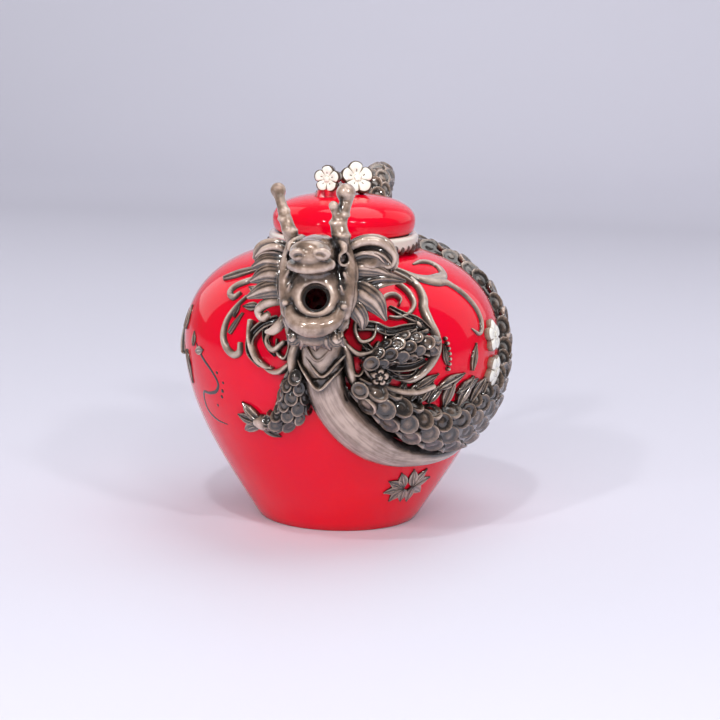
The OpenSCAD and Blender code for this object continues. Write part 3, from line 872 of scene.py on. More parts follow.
class StampTree:
    """A node tree that presses a stamp at every mark, over a base, and dresses the result."""

    def __init__(self) -> None:
        """Builds the tree once, for every piece that uses it."""
        tree = bpy.data.node_groups.new("press_stamps", "GeometryNodeTree")
        face = tree.interface
        kinds = {"Marks": "Geometry", "Base": "Object", "Stamp": "Object", "Finish": "Material",
            "Size spread": "Float", "Seed": "Int"}
        self.inputs = {
            name: face.new_socket(name, in_out="INPUT", socket_type="NodeSocket" + kind).identifier
            for name, kind in kinds.items()
        }
        face.new_socket("Piece", in_out="OUTPUT", socket_type="NodeSocketGeometry")
        new, link = tree.nodes.new, tree.links.new
        given, out = new("NodeGroupInput"), new("NodeGroupOutput")
        stamp, base = new("GeometryNodeObjectInfo"), new("GeometryNodeObjectInfo")
        turn, press = new("FunctionNodeAxesToRotation"), new("GeometryNodeInstanceOnPoints")
        turn.primary_axis, turn.secondary_axis = "Z", "X"
        real, join, dress = new("GeometryNodeRealizeInstances"), new("GeometryNodeJoinGeometry"), new(
            "GeometryNodeSetMaterial")
        vary, scale = new("FunctionNodeRandomValue"), new("ShaderNodeVectorMath")
        low, high = new("ShaderNodeMath"), new("ShaderNodeMath")
        low.operation, high.operation, scale.operation = "SUBTRACT", "ADD", "SCALE"
        low.inputs[0].default_value = high.inputs[0].default_value = 1.0
        vary.data_type = "FLOAT"
        reads = {}
        for name in ("face", "grow", "size"):
            reads[name] = new("GeometryNodeInputNamedAttribute")
            reads[name].data_type = "FLOAT_VECTOR"
            reads[name].inputs["Name"].default_value = name
        for source, output, target, entry in (
            (given, "Size spread", low, 1),
            (given, "Size spread", high, 1),
            (low, 0, vary, 2),
            (high, 0, vary, 3),
            (given, "Seed", vary, "Seed"),
            (reads["face"], "Attribute", turn, "Primary Axis"),
            (reads["grow"], "Attribute", turn, "Secondary Axis"),
            (reads["size"], "Attribute", scale, 0),
            (vary, 1, scale, "Scale"),
            (given, "Stamp", stamp, "Object"),
            (given, "Base", base, "Object"),
            (given, "Marks", press, "Points"),
            (stamp, "Geometry", press, "Instance"),
            (turn, "Rotation", press, "Rotation"),
            (scale, 0, press, "Scale"),
            (press, "Instances", join, "Geometry"),
            (base, "Geometry", join, "Geometry"),
            (join, "Geometry", real, "Geometry"),
            (real, "Geometry", dress, "Geometry"),
            (given, "Finish", dress, "Material"),
            (dress, "Geometry", out, "Piece"),
        ):
            link(source.outputs[output], target.inputs[entry])
        self.tree = tree

    def press(
        self,
        name: str,
        marks: Marks,
        stamp: Form,
        finish: Material,
        base: Form | None = None,
        spread: float = 0.06,
        seed: int = 1,
    ) -> Thing:
        """Makes one piece from marks, a stamp and a base.

        Args:
            name: The piece's name.
            marks: Where the stamp goes.
            stamp: The stamp, with its face along +Z and its growth along +X, one unit long.
            finish: The piece's material.
            base: What the stamps sit on, if the piece has it.
            spread: How much the stamps' sizes differ, as a share.
            seed: Seed of that difference.

        Returns:
            A plain mesh object.
        """
        mesh = bpy.data.meshes.new(name + "_marks")
        mesh.from_pydata([tuple(p * MM) for p in marks.at], [], [])
        sizes = np.asarray(marks.size) * MM
        for key, rows in (("face", marks.face), ("grow", marks.grow), ("size", sizes)):
            attribute = mesh.attributes.new(key, "FLOAT_VECTOR", "POINT")
            attribute.data.foreach_set("vector", np.asarray(rows, np.float32).ravel())
        holder = bpy.data.objects.new(name + "_marks", mesh)
        bpy.context.scene.collection.objects.link(holder)
        stamp_object = make_object(name + "_stamp", stamp)
        helpers = [holder, stamp_object]
        modifier = holder.modifiers.new("press", "NODES")
        modifier.node_group = self.tree
        modifier[self.inputs["Stamp"]] = stamp_object
        modifier[self.inputs["Finish"]] = finish
        modifier[self.inputs["Size spread"]] = spread
        modifier[self.inputs["Seed"]] = seed
        if base is not None:
            base_object = make_object(name + "_base", base)
            modifier[self.inputs["Base"]] = base_object
            helpers.append(base_object)
        graph = bpy.context.evaluated_depsgraph_get()
        result = bpy.data.meshes.new_from_object(holder.evaluated_get(graph), depsgraph=graph)
        result.name = name
        for key in ("face", "grow", "size"):
            if key in result.attributes:
                result.attributes.remove(result.attributes[key])
        holder.modifiers.clear()
        for helper in helpers:
            bpy.data.objects.remove(helper)
        piece = bpy.data.objects.new(name, result)
        bpy.context.scene.collection.objects.link(piece)
        return piece


def disc_stamp(rows: Place, segments: int, height: Callable[[float, float], tuple[float, float]],
    wide: Callable[[float], float]) -> Form:
    """A closed low relief on a round grid.

    Args:
        rows: Radii of the grid's rings, from near 0 to 1.
        segments: Points in each ring.
        height: Gives (height, relief value) at a radius and an angle in radians.
        wide: Gives the outline's radius at an angle.

    Returns:
        The stamp, one unit long.
    """
    angles = np.linspace(0, 2 * pi, segments, endpoint=False)
    verts, rise = [[0.0, 0.0, height(0, 0)[0]]], [height(0, 0)[1]]
    for r in rows:
        for a in angles:
            h, value = height(r, a)
            verts.append([r * wide(a) * cos(a), r * wide(a) * sin(a), h])
            rise.append(value)
    verts.append([0.0, 0.0, -0.8])
    rise.append(0.0)
    return outward(Form(np.array(verts) / MM, button_faces(len(rows), segments), np.array(rise)))


def scale_stamp() -> Form:
    """One scale: a raised loop, open towards the head, round a domed core.

    Returns:
        The stamp.
    """

    def height(r: float, a: float) -> tuple[float, float]:
        """Shapes the scale's section.

        Args:
            r: Radius, from 0 to 1.
            a: Angle from the way it grows, in radians.

        Returns:
            The height and the relief value.
        """
        forward = (0.5 + 0.5 * cos(a)) ** 0.8
        rim = exp(-(((r - 0.84) / 0.13) ** 2)) * (0.1 + 0.9 * forward)
        core = 0.6 * sqrt(max(0.0, 1 - (r / 0.62) ** 2))
        top = -0.7 if r > 0.97 else 0.1 + rim + core + 0.42 * r * cos(a)
        return top, min(1.0, 0.02 + 0.98 * rim + 0.4 * core)

    return disc_stamp((0.34, 0.62, 0.82, 0.92, 1.0), 14, height,
        lambda a: 0.5 * (1 + 0.16 * cos(a) + 0.05 * cos(2 * a)))


def bead_stamp() -> Form:
    """A round bead, half sunk."""
    return disc_stamp((0.35, 0.65, 0.87, 1.0), 12, lambda r,
        a: (sqrt(max(0.0, 1 - r * r)) * 0.5 if r < 1 else -0.2, 0.4 + 0.6 * (1 - r)), lambda a: 0.5)


def drip_stamp() -> Form:
    """One drip of the collar's fringe: round at its foot, merging into the row above.

    Returns:
        The stamp.
    """

    def height(r: float, _: float) -> tuple[float, float]:
        """A dome's height and relief value at a radius."""
        return (0.5 * sqrt(max(0.0, 1 - r * r)) if r < 1 else -0.3), 1 - r

    return disc_stamp((0.4, 0.7, 0.9, 1.0), 12, height, lambda a: 0.5)


# --- Finishes ---


class Bench:
    """Shorthand for wiring a material's nodes."""

    def __init__(self, name: str) -> None:
        """Starts a material with a Principled shader.

        Args:
            name: The material's name.
        """
        self.material = bpy.data.materials.new(name)
        self.material.use_nodes = True
        self.tree = self.material.node_tree
        self.tree.nodes.clear()
        self.shader = self.node("BsdfPrincipled")
        self.node("OutputMaterial", Surface=self.shader.outputs[0])
        self.place = self.node("TexCoord").outputs["Object"]

    def node(self, kind: str, **values: Socket | float | Place) -> bpy.types.Node:
        """Adds a shader node.

        Args:
            kind: Its type, after ShaderNode.
            **values: What goes in its sockets, by name with spaces as underscores.

        Returns:
            The node.
        """
        node = self.tree.nodes.new("ShaderNode" + kind)
        for name, value in values.items():
            socket = node.inputs[name.replace("_", " ")]
            if isinstance(value, Socket):
                self.link(value, socket)
            else:
                socket.default_value = value
        return node

    def link(self, a: Socket, b: Socket) -> None:
        """Joins an output to an input."""
        self.tree.links.new(a, b)

    def constant(self, **values: float | tuple[float, ...]) -> None:
        """Sets the shader's own sockets, by name with spaces as underscores."""
        for name, value in values.items():
            self.shader.inputs[name.replace("_", " ")].default_value = value

    def attribute(self, name: str, output: str = "Fac") -> Socket:
        """Reads an attribute of the mesh.

        Args:
            name: The attribute's name.
            output: Which output of the node.

        Returns:
            The output.
        """
        node = self.node("Attribute")
        node.attribute_name = name
        return node.outputs[output]

    def noise(self, scale: float, detail: float = 3.0, roughness: float = 0.5,
        vector: Socket | None = None) -> Socket:
        """Makes a noise over the object's own place.

        Args:
            scale: Features in a metre.
            detail: How many octaves.
            roughness: How strong the finer octaves are.
            vector: A place to use instead.

        Returns:
            The noise, from 0 to 1.
        """
        vector = self.place if vector is None else vector
        node = self.node("TexNoise", Vector=vector, Scale=scale, Detail=detail, Roughness=roughness)
        return node.outputs["Fac"]

    def math(self, operation: str, a: Socket | float, b: Socket | float = 0.0, clamp: bool = False) -> Socket:
        """Does one arithmetic step.

        Args:
            operation: The step's name.
            a: The first value.
            b: The second value.
            clamp: Whether the result stays in 0 to 1.

        Returns:
            The result.
        """
        node = self.node("Math")
        node.operation, node.use_clamp = operation, clamp
        for socket, value in zip(node.inputs, (a, b)):
            if isinstance(value, (int, float)):
                socket.default_value = value
            else:
                self.link(value, socket)
        return node.outputs[0]

    def ramp(self, value: Socket, stops: Sequence[tuple[float, Triple]]) -> Socket:
        """Colours a value.

        Args:
            value: The value.
            stops: Places from 0 to 1, each with its colour.

        Returns:
            The colour.
        """
        node = self.node("ValToRGB", Fac=value)
        while len(node.color_ramp.elements) < len(stops):
            node.color_ramp.elements.new(0.5)
        for element, (at, colour) in zip(node.color_ramp.elements, stops):
            element.position = at
            element.color = (*colour, 1)
        return node.outputs["Color"]

    def span(self, value: Socket, low: float, high: float) -> Socket:
        """Maps a value from 0 to 1 onto a range.

        Args:
            value: The value.
            low: What 0 becomes.
            high: What 1 becomes.

        Returns:
            The new value.
        """
        return self.node("MapRange", Value=value, To_Min=low, To_Max=high).outputs["Result"]

    def crevice(self, reach: float) -> Socket:
        """Tells how open the surface is.

        Args:
            reach: How far round a place counts, in metres.

        Returns:
            0 deep in a recess, 1 in the open.
        """
        node = self.node("AmbientOcclusion", Distance=reach)
        node.samples = 8
        return node.outputs["AO"]

    def with_painted_shade(self, colour: Socket, reach: float) -> Socket:
        """Paints shade into a colour where the surface is shut in.

        Args:
            colour: The colour.
            reach: How far round a place counts, in metres.

        Returns:
            The colour with its painted shade.
        """
        shut = self.node("MapRange", Value=self.crevice(reach), From_Max=0.3)
        node = self.node("VectorMath")
        node.operation = "SCALE"
        self.link(colour, node.inputs[0])
        self.link(shut.outputs["Result"], node.inputs["Scale"])
        return node.outputs["Vector"]

    def bump(self, height: Socket, strength: float, distance: float) -> None:
        """Bumps the shader's normal.

        Args:
            height: The height map.
            strength: Its strength.
            distance: Its depth in metres.
        """
        node = self.node("Bump", Strength=strength, Distance=distance, Height=height)
        self.link(node.outputs["Normal"], self.shader.inputs["Normal"])


@dataclass(frozen=True)
class ClearGlaze:
    """An even, glossy coloured glaze with a faint cloudy tone, painted shade in its recesses when shade is set, and
    orange peel.
    """

    name: str
    deep: Triple
    bright: Triple
    roughness: float = 0.06
    coat: float = 0.6
    shine: float = 0.5
    # reach in metres of the painted shade in recesses; 0 paints none
    shade: float = 0.0
    peel: float = 0.12
    peel_scale: float = 45.0
    stained: Triple | None = None

    def build(self) -> Material:
        """Wires the glaze.

        Returns:
            The material.
        """
        bench = Bench(self.name)
        cloud = bench.noise(14.0, 3.0)
        fine = bench.noise(420.0, 4.0, 0.6)
        mix = bench.math("ADD", bench.math("MULTIPLY", cloud, 0.75), bench.math("MULTIPLY", fine, 0.25))
        if self.stained is None:
            colour = bench.ramp(mix, [(0.3, self.deep), (0.7, self.bright)])
        else:
            open_air = bench.math("MULTIPLY", bench.attribute(RISE), bench.span(fine, 0.75, 1.25), clamp=True)
            colour = bench.ramp(open_air, [(0.0, self.stained), (0.16, self.stained), (0.34, self.deep),
                (0.85, self.bright)])
        # painted shade: darker where the ambient occlusion node finds the surface shut in
        if self.shade:
            colour = bench.with_painted_shade(colour, self.shade)
        bench.link(colour, bench.shader.inputs["Base Color"])
        bench.link(bench.span(fine, self.roughness * 0.7, self.roughness * 1.6), bench.shader.inputs["Roughness"])
        bench.constant(Coat_Weight=self.coat, Coat_Roughness=0.02, IOR=1.5, Specular_IOR_Level=self.shine)
        bench.bump(bench.math("ADD", bench.noise(self.peel_scale, 2.0), bench.math("MULTIPLY", fine, 0.05)),
            self.peel, 0.0006)
        return bench.material


@dataclass(frozen=True)
class LustreGlaze:
    """Taupe lustre: pale where it stands proud, near black in recesses and between scales from painted shade."""

    name: str = "silver_lustre"
    deep: Triple = (0.016, 0.011, 0.009)
    middle: Triple = (0.30, 0.20, 0.145)
    proud: Triple = (0.66, 0.50, 0.415)
    metallic: float = 0.18
    wash: float = 0.75
    streaked: bool = False
    strokes: Triple = (0.035, 0.62, 1.0)
    # reach in metres of the ambient occlusion node that paints shade into the lustre
    reach: float = 0.0052

    def build(self) -> Material:
        """Wires the lustre.

        Returns:
            The material.
        """
        bench = Bench(self.name)
        mottle = bench.noise(150.0, 6.0, 0.62)
        fine = bench.noise(900.0, 3.0, 0.6)
        if self.streaked:
            stretch = bench.node("Mapping", Vector=bench.attribute(STREAK, "Vector"), Scale=self.strokes)
            rub = bench.noise(1.0, 5.0, 0.68, stretch.outputs["Vector"])
            mottle = bench.math("ADD", bench.math("MULTIPLY", mottle, 0.3), bench.math("MULTIPLY", rub, 0.7))
        # painted shade: the ambient occlusion node and low relief values darken recesses, creases and the skin
        # between scales
        open_air = bench.math("POWER", bench.crevice(self.reach), 2.1)
        relief = bench.span(bench.attribute(RISE), 0.12, 0.98)
        level = bench.math("MULTIPLY", open_air, relief, clamp=True)
        wash = self.wash * (1.5 if self.streaked else 1.0)
        level = bench.math("ADD", level, bench.span(mottle, -wash, wash * 0.8))
        level = bench.math("ADD", level, bench.span(bench.noise(46.0, 2.0), -0.3, 0.26), clamp=True)
        level = bench.math("MULTIPLY", level, bench.span(open_air, 0.2, 1.0), clamp=True)
        brown = tuple(0.42 * c for c in self.middle)
        colour = bench.ramp(level, [(0.05, self.deep), (0.3, brown), (0.56, self.middle), (0.95, self.proud)])
        bench.link(colour, bench.shader.inputs["Base Color"])
        bench.link(bench.span(mottle, 0.3, 0.1), bench.shader.inputs["Roughness"])
        bench.constant(Metallic=self.metallic, Coat_Weight=1.0, Coat_Roughness=0.03, Coat_IOR=1.6, IOR=1.5)
        bench.bump(bench.math("ADD", bench.math("MULTIPLY", mottle, 0.9), bench.math("MULTIPLY", fine, 0.12)), 0.26,
            0.0006)
        return bench.material


@dataclass(frozen=True)
class BarkGlaze:
    """Red glaze over a stub scored like bark."""

    name: str = "scored_red"
    deep: Triple = (0.30, 0.0, 0.01)
    bright: Triple = (0.66, 0.0, 0.016)
    pitch: float = 520.0

    def build(self) -> Material:
        """Wires the scored glaze.

        Returns:
            The material.
        """
        bench = Bench(self.name)
        cuts = []
        for turn in (0.7, -0.7):
            spin = bench.node("Mapping", Vector=bench.place, Rotation=(0.0, turn, turn)).outputs["Vector"]
            wave = bench.node("TexWave", Vector=spin, Scale=self.pitch / 6.283, Distortion=2.0)
            cuts.append(wave.outputs["Fac"])
        scored = bench.math("MULTIPLY", cuts[0], cuts[1])
        bench.link(bench.ramp(scored, [(0.0, self.deep), (0.5, self.bright)]), bench.shader.inputs["Base Color"])
        bench.constant(Roughness=0.12, Coat_Weight=0.6, Coat_Roughness=0.03)
        bench.bump(scored, 0.6, 0.0006)
        return bench.material


@dataclass(frozen=True)
class BackdropPaint:
    """The matte backdrop's paint."""

    name: str = "backdrop_paint"
    colour: Triple = (0.70, 0.69, 0.785)

    def build(self) -> Material:
        """Wires the paint with a faint unevenness.

        Returns:
            The material.
        """
        bench = Bench(self.name)
        r, g, b = self.colour
        tone = bench.ramp(bench.noise(2.0, 2.0), [(0.3, (r * 0.985, g * 0.985, b * 0.985)), (0.7, (r, g, b))])
        bench.link(tone, bench.shader.inputs["Base Color"])
        bench.constant(Roughness=0.55, Specular_IOR_Level=0.25)
        return bench.material


@dataclass
class Workshop:
    """What every maker shares: the chart, the stamp tree and the finishes."""

    chart: WallChart
    stamps: StampTree
    red: Material
    cream: Material
    blossom: Material
    dark: Material
    slip: Material
    lustre: Material
    streaked: Material
    bark: Material
    vine: Material
    plum: Material
    fringe: Material
    spout: Material

    @classmethod
    def open(cls) -> "Workshop":
        """Sets up the shop.

        Returns:
            A workshop with its finishes mixed.
        """
        return cls(
            chart=WallChart(JarOutline.from_frame()),
            stamps=StampTree(),
            # the red glaze's last number is the reach of its painted shade in recesses
            red=ClearGlaze("red_glaze", (0.74, 0.0, 0.026), (0.84, 0.0, 0.012), 0.05, 0.0, 0.34, 0.014).build(),
            cream=ClearGlaze("cream_glaze", (0.66, 0.58, 0.50), (0.80, 0.74, 0.67), 0.16, 0.5, peel=0.25,
                peel_scale=160.0).build(),
            blossom=ClearGlaze("blossom_cream", (0.72, 0.66, 0.54), (0.88, 0.85, 0.76), 0.15, 0.5, peel=0.2,
                peel_scale=220.0, stained=(0.07, 0.04, 0.026)).build(),
            dark=ClearGlaze("dark_glaze", (0.030, 0.018, 0.014), (0.07, 0.045, 0.036), 0.12, 0.8, peel=0.3,
                peel_scale=200.0).build(),
            slip=ClearGlaze("black_slip", (0.012, 0.006, 0.006), (0.03, 0.012, 0.012), 0.16, 0.4, peel=0.2,
                peel_scale=200.0).build(),
            lustre=LustreGlaze().build(),
            streaked=LustreGlaze("rubbed_lustre", middle=(0.215, 0.142, 0.11), proud=(0.50, 0.37, 0.31),
                streaked=True).build(),
            bark=BarkGlaze().build(),
            vine=LustreGlaze("vine_lustre", deep=(0.06, 0.045, 0.038), middle=(0.30, 0.21, 0.16),
                proud=(0.54, 0.42, 0.35)).build(),
            plum=ClearGlaze("plum_cream", (0.68, 0.63, 0.55), (0.86, 0.83, 0.77), 0.18, 0.4, peel=0.2,
                peel_scale=200.0, stained=(0.26, 0.18, 0.13)).build(),
            fringe=ClearGlaze("fringe_brown", (0.03, 0.014, 0.012), (0.12, 0.06, 0.05), 0.14, 0.6, peel=0.3,
                peel_scale=300.0).build(),
            # near black on the spout tube seen through the mouth: painted shade in the hole
            spout=LustreGlaze("spout_lustre", middle=(0.03, 0.022, 0.02), proud=(0.12, 0.09, 0.08)).build(),
        )

    def deliver(
        self,
        piece: Thing,
        finish: Material,
        nodes: Sequence[str] = (),
        body: Body = Body.JAR,
    ) -> Thing:
        """Dresses a piece, fixes it to its body and reports it.

        Args:
            piece: The piece.
            finish: Its material.
            nodes: The CAD nodes it stands for.
            body: The body it rides on.

        Returns:
            The piece.
        """
        piece.data.materials.clear()
        piece.data.materials.append(finish)
        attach(piece, body.value)
        if nodes:
            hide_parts(*nodes)
        LOG.info("%s: %d faces, for %s", piece.name, len(piece.data.polygons), ", ".join(nodes) or "no CAD node")
        return piece

    def lustred(self, name: str, form: Form, nodes: Sequence[str] = (), finish: Material | None = None) -> Thing:
        """Makes and delivers a lustred piece of the jar.

        Args:
            name: The piece's name.
            form: Its mesh.
            nodes: The CAD nodes it stands for.
            finish: Its lustre, where it isn't the usual one.

        Returns:
            The piece.
        """
        return self.deliver(make_object(name, form), finish or self.lustre, nodes)


# --- The thrown pieces: jar, collar, lid ---


def pierced(piece: Thing, cutters: Sequence[Form]) -> Thing:
    """Cuts closed forms out of a piece.

    Args:
        piece: The piece.
        cutters: What is cut away.

    Returns:
        The same object, with its new mesh.
    """
    tool = make_object(piece.name + "_cutter", gathered(cutters))
    modifier = piece.modifiers.new("pierce", "BOOLEAN")
    modifier.operation, modifier.solver, modifier.object = "DIFFERENCE", "EXACT", tool
    graph = bpy.context.evaluated_depsgraph_get()
    mesh = bpy.data.meshes.new_from_object(piece.evaluated_get(graph), depsgraph=graph)
    piece.modifiers.clear()
    piece.data = mesh
    bpy.data.objects.remove(tool)
    return piece


def round_corner(at: Place, radius: float, start: float, end: float, count: int = 6) -> list[tuple[float, float]]:
    """Points of an arc in a profile.

    Args:
        at: The arc's centre, as (radius, height).
        radius: Its radius.
        start: Its first angle.
        end: Its last angle.
        count: How many points.

    Returns:
        Rows of (radius, height).
    """
    return [(at[0] + radius * cos(radians(a)), at[1] + radius * sin(radians(a)))
        for a in np.linspace(start, end, count)]


@dataclass
class JarShell:
    """The thrown jar: wall, floor, neck and the strainer behind its spout."""

    wall: float = 3.6
    floor: float = 5.5
    foot_round: float = 0.8
    mouth_r: float = 27.0
    neck_r: float = 30.0
    rim_z: float = 131.5
    hole_r: float = 1.5
    hole_ring: float = 5.0
    holes: int = 6
    hole_depths: Triple = (40, 31, 22)
    mouth: Triple = (1.2, -93.0, 115.0)
    tilt: float = 25.0
    segments: int = 224

    def profile(self, outline: Array) -> Array:
        """The section of the wall, once round.

        Args:
            outline: The outside curve.

        Returns:
            Rows of (radius, height).
        """
        outer = outline[::7]
        steps = np.gradient(outline[::16], axis=0)
        normal = np.stack([steps[:, 1], -steps[:, 0]], 1)
        normal /= np.linalg.norm(normal, axis=1, keepdims=True)
        inner = outline[::16] - normal * self.wall
        inner = inner[(inner[:, 1] > self.floor + 4) & (inner[:, 0] > self.mouth_r)]
        foot_r = outline[0, 0]
        base = round_corner((foot_r - self.foot_round, self.foot_round), self.foot_round, -90, -20)
        top = self.rim_z
        neck = [(self.neck_r + 0.6, top - 9), (self.neck_r, top - 8.2), (self.neck_r, top - 0.7)]
        lip = round_corner((self.neck_r - 0.6, top - 0.6), 0.6, 0, 90,
            4) + round_corner((self.mouth_r + 0.6, top - 0.6), 0.6, 90, 180, 4)
        throat = [(self.mouth_r, top - 10)]
        floor = round_corner((inner[0, 0] - 5, self.floor + 5), 5, -10, -90, 6)
        rows = [(0, 0), (foot_r * 0.5, 0)] + base + [tuple(p) for p in outer if p[1] > 0.9] + neck + lip + throat
        rows += [tuple(p) for p in inner[::-1]] + floor + [(0, self.floor)]
        return np.array(rows)

    def build(self, shop: Workshop) -> None:
        """Throws the jar and pierces its strainer.

        Args:
            shop: The workshop.
        """
        piece = make_object("jar", lathe(self.profile(shop.chart.curve), self.segments, closed=False))
        t = radians(self.tilt)
        out = np.array([0, -cos(t), sin(t)])
        side, up = np.array([1.0, 0, 0]), np.array([0, sin(t), cos(t)])
        tools = []
        for i in range(self.holes + 1):
            a = 2 * pi * i / self.holes
            spot = np.array(self.mouth) + (side * cos(a) + up * sin(a)) * (self.hole_ring if i < self.holes else 0)
            path = [(*(spot - out * d), self.hole_r * 2, self.hole_r * 2) for d in self.hole_depths]
            tools.append(sweep(path, (1, 0, 0), ROUND, 2, 1.0))
        shop.deliver(pierced(piece, tools), shop.red, ["jar_body"])


@dataclass
class Collar:
    """The cream band round the neck and the row of dark drips under it."""

    outer_r: float = 34.0
    inner_r: float = 30.0
    low: float = 125.2
    high: float = 131.4
    edge: float = 1.7
    drips: int = 46
    drip: Triple = (4.6, 2.7, 2.6)
    drip_r: float = 33.5
    drip_z: float = 125.7

    def build(self, shop: Workshop) -> None:
        """Makes the band and presses its fringe.

        Args:
            shop: The workshop.
        """
        rows = [(self.inner_r + 0.2, self.low)] + round_corner((self.outer_r - self.edge, self.low + self.edge),
            self.edge, -90, 0)
        rows += round_corner((self.outer_r - self.edge, self.high - self.edge), self.edge, 0,
            90) + [(self.inner_r + 0.2, self.high)]
        band = lathe(np.array(rows), 192)
        a = np.arctan2(band.verts[:, 1], band.verts[:, 0])
        low = np.clip((self.low + 2.5 - band.verts[:, 2]) / 2.5, 0, 1)
        band.verts[:, 2] += 0.25 * low * np.sin(self.drips * a)
        shop.deliver(make_object("collar", band), shop.cream, ["neck_collar"])
        marks = Marks()
        for i in range(self.drips):
            b = 2 * pi * i / self.drips
            out = np.array([cos(b), sin(b), -0.25])
            at = np.array([self.drip_r * cos(b), self.drip_r * sin(b), self.drip_z - 0.25 * cos(3 * i)])
            marks.add(at, unit(out), np.array([0, 0, -1.0]), self.drip)
        fringe = shop.stamps.press("collar_drips", marks, drip_stamp(), shop.fringe, spread=0.2, seed=7)
        shop.deliver(fringe, shop.fringe, ["collar_fringe"])


@dataclass
class BlossomCut:
    """How a five-petalled blossom is cut."""

    size: float
    thick: float
    turn: float = 0.0
    cup: float = 0.0
    notch: float = 0.36
    spots: bool = True
    rings: Place = (0.1, 0.18, 0.24, 0.3, 0.38, 0.46, 0.56, 0.68, 0.8, 0.88, 0.93, 0.97, 1.0, 1.0)
    segments: int = 120
    under: float = -0.6

    def form(self, place: Callable[[Array], Array]) -> Form:
        """Builds the blossom.

        Args:
            place: Takes rows of (across, up, height) and gives points in space.

        Returns:
            A closed mesh, with low relief values where its outlines are stained.
        """
        segments = self.segments
        b = np.linspace(0, 2 * pi, segments, endpoint=False)
        lobe = np.abs(np.cos(2.5 * (b - radians(self.turn))))
        outline = self.size * (1 - self.notch + self.notch * lobe**0.75)
        rows, rise = [np.array([[0, 0, self.thick * 1.15]])], [np.array([0.5])]
        for n, f in enumerate(self.rings):
            r = outline * f
            crease = np.exp(-((lobe / 0.2) ** 2)) * min(1.0, f * 1.6)
            bulge = 0.62 + 0.38 * sin(pi * min(f, 1.0) ** 1.4) + self.cup * f * f
            high = self.thick * (bulge - 0.35 * crease)
            if f < 0.27:
                high = np.full(segments, self.thick * (1.15 - 1.4 * f * f))
            tone = np.clip(1.0 - crease, 0, 1) * (0.0 if f > 0.9 else 1.0)
            if 0.22 < f < 0.28:
                tone = tone * 0.25
            if self.spots and 0.34 < f < 0.5:
                tone = np.where(lobe > 0.97, 0.0, tone)
            if n == len(self.rings) - 1:
                high, tone = np.full(segments, self.under), tone * 0
            rows.append(np.stack([r * np.cos(b), r * np.sin(b), high], 1))
            rise.append(tone)
        rows.append(np.array([[0, 0, self.under]]))
        rise.append(np.array([0.0]))
        faces = button_faces(len(self.rings), segments)
        return outward(Form(place(np.vstack(rows)), faces, np.concatenate(rise)))


@dataclass
class Lid:
    """The domed lid with its locating ring, its scored stub and two blossoms."""

    seat_z: float = 131.6
    widest_z: float = 137.0
    top_z: float = 148.5
    outer_r: float = 32.5
    seat_r: float = 30.5
    ring_r: float = 26.3
    ring_h: float = 8.0
    wall: float = 3.2
    left_at: Triple = (-6.4, -7.0, 155.6)
    right_at: Triple = (4.6, 2.0, 154.9)

    def dome(self) -> Form:
        """The dome, hollow underneath.

        Returns:
            A closed mesh.
        """
        hollow = self.ring_r - self.wall
        outer = np.vstack(
            [
                bezier([(self.seat_r, self.seat_z), (self.seat_r + 1.3, self.seat_z + 0.4),
                    (self.outer_r, self.seat_z + 2.4), (self.outer_r, self.widest_z)], 9)[:-1],
                bezier([(self.outer_r, self.widest_z), (self.outer_r, self.widest_z + 7),
                    (0.68 * self.outer_r, self.top_z), (0, self.top_z)], 40),
            ]
        )
        inner = bezier([(0, self.top_z - self.wall), (0.6 * hollow, self.top_z - self.wall),
            (hollow, self.widest_z + 5), (hollow, self.seat_z)], 20)
        return lathe(np.vstack([outer, inner]), 192, closed=True)

    def stub(self) -> Form:
        """The stub that the left blossom stands on.

        Returns:
            A closed mesh.
        """
        rows = [(0, 145.2), (6.9, 145.2), (6.9, 147.4), (6.2, 148.6), (5.6, 149.8), (5.2, 150.7), (4.6, 151.2),
            (0, 151.4)]
        form = lathe(np.array(rows), 48, closed=False)
        a = np.arctan2(form.verts[:, 1], form.verts[:, 0])
        form.verts[:, :2] *= (1 + 0.05 * np.sin(5 * a + 1) + 0.03 * np.sin(11 * a))[:, None]
        form.verts[:, :2] += np.array([self.left_at[0], -5.4])
        return form

    def build(self, shop: Workshop) -> None:
        """Makes the lid's pieces, which all lift together.

        Args:
            shop: The workshop.
        """
        shop.deliver(make_object("lid", self.dome()), shop.red, ["lid_dome"], Body.LID)
        low = self.seat_z - self.ring_h
        inner = self.ring_r - self.wall
        rows = round_corner((self.ring_r - 0.8, low + 0.8), 0.8, -90, 0) + [(self.ring_r, self.seat_z),
            (inner, self.seat_z)] + round_corner((inner + 0.8, low + 0.8), 0.8, 180, 270)
        shop.deliver(make_object("lid_ring", lathe(np.array(rows), 160)), shop.cream, ["lid_flange"],
            Body.LID)
        shop.deliver(make_object("scored_stub", self.stub()), shop.bark, ["finial_stub"], Body.LID)
        for name, node, at, size, thick, tip, turn, spin in (
            ("blossom_small", "finial_blossom_left", self.left_at, 5.7, 2.6, 84, -14, 90),
            ("blossom_large", "finial_blossom_right", self.right_at, 7.2, 2.8, 66, 30, 18),
        ):
            matrix = Matrix.Rotation(radians(turn), 3, "Z") @ Matrix.Rotation(radians(tip), 3, "X")
            rotation = np.array(matrix)
            form = BlossomCut(size * 1.1, thick, spin, cup=0.4, notch=0.24).form(lambda p, m=rotation,
                c=at: p @ m.T + np.array(c))
            shop.deliver(make_object(name, form), shop.blossom, [node], Body.LID)


# --- The dragon ---


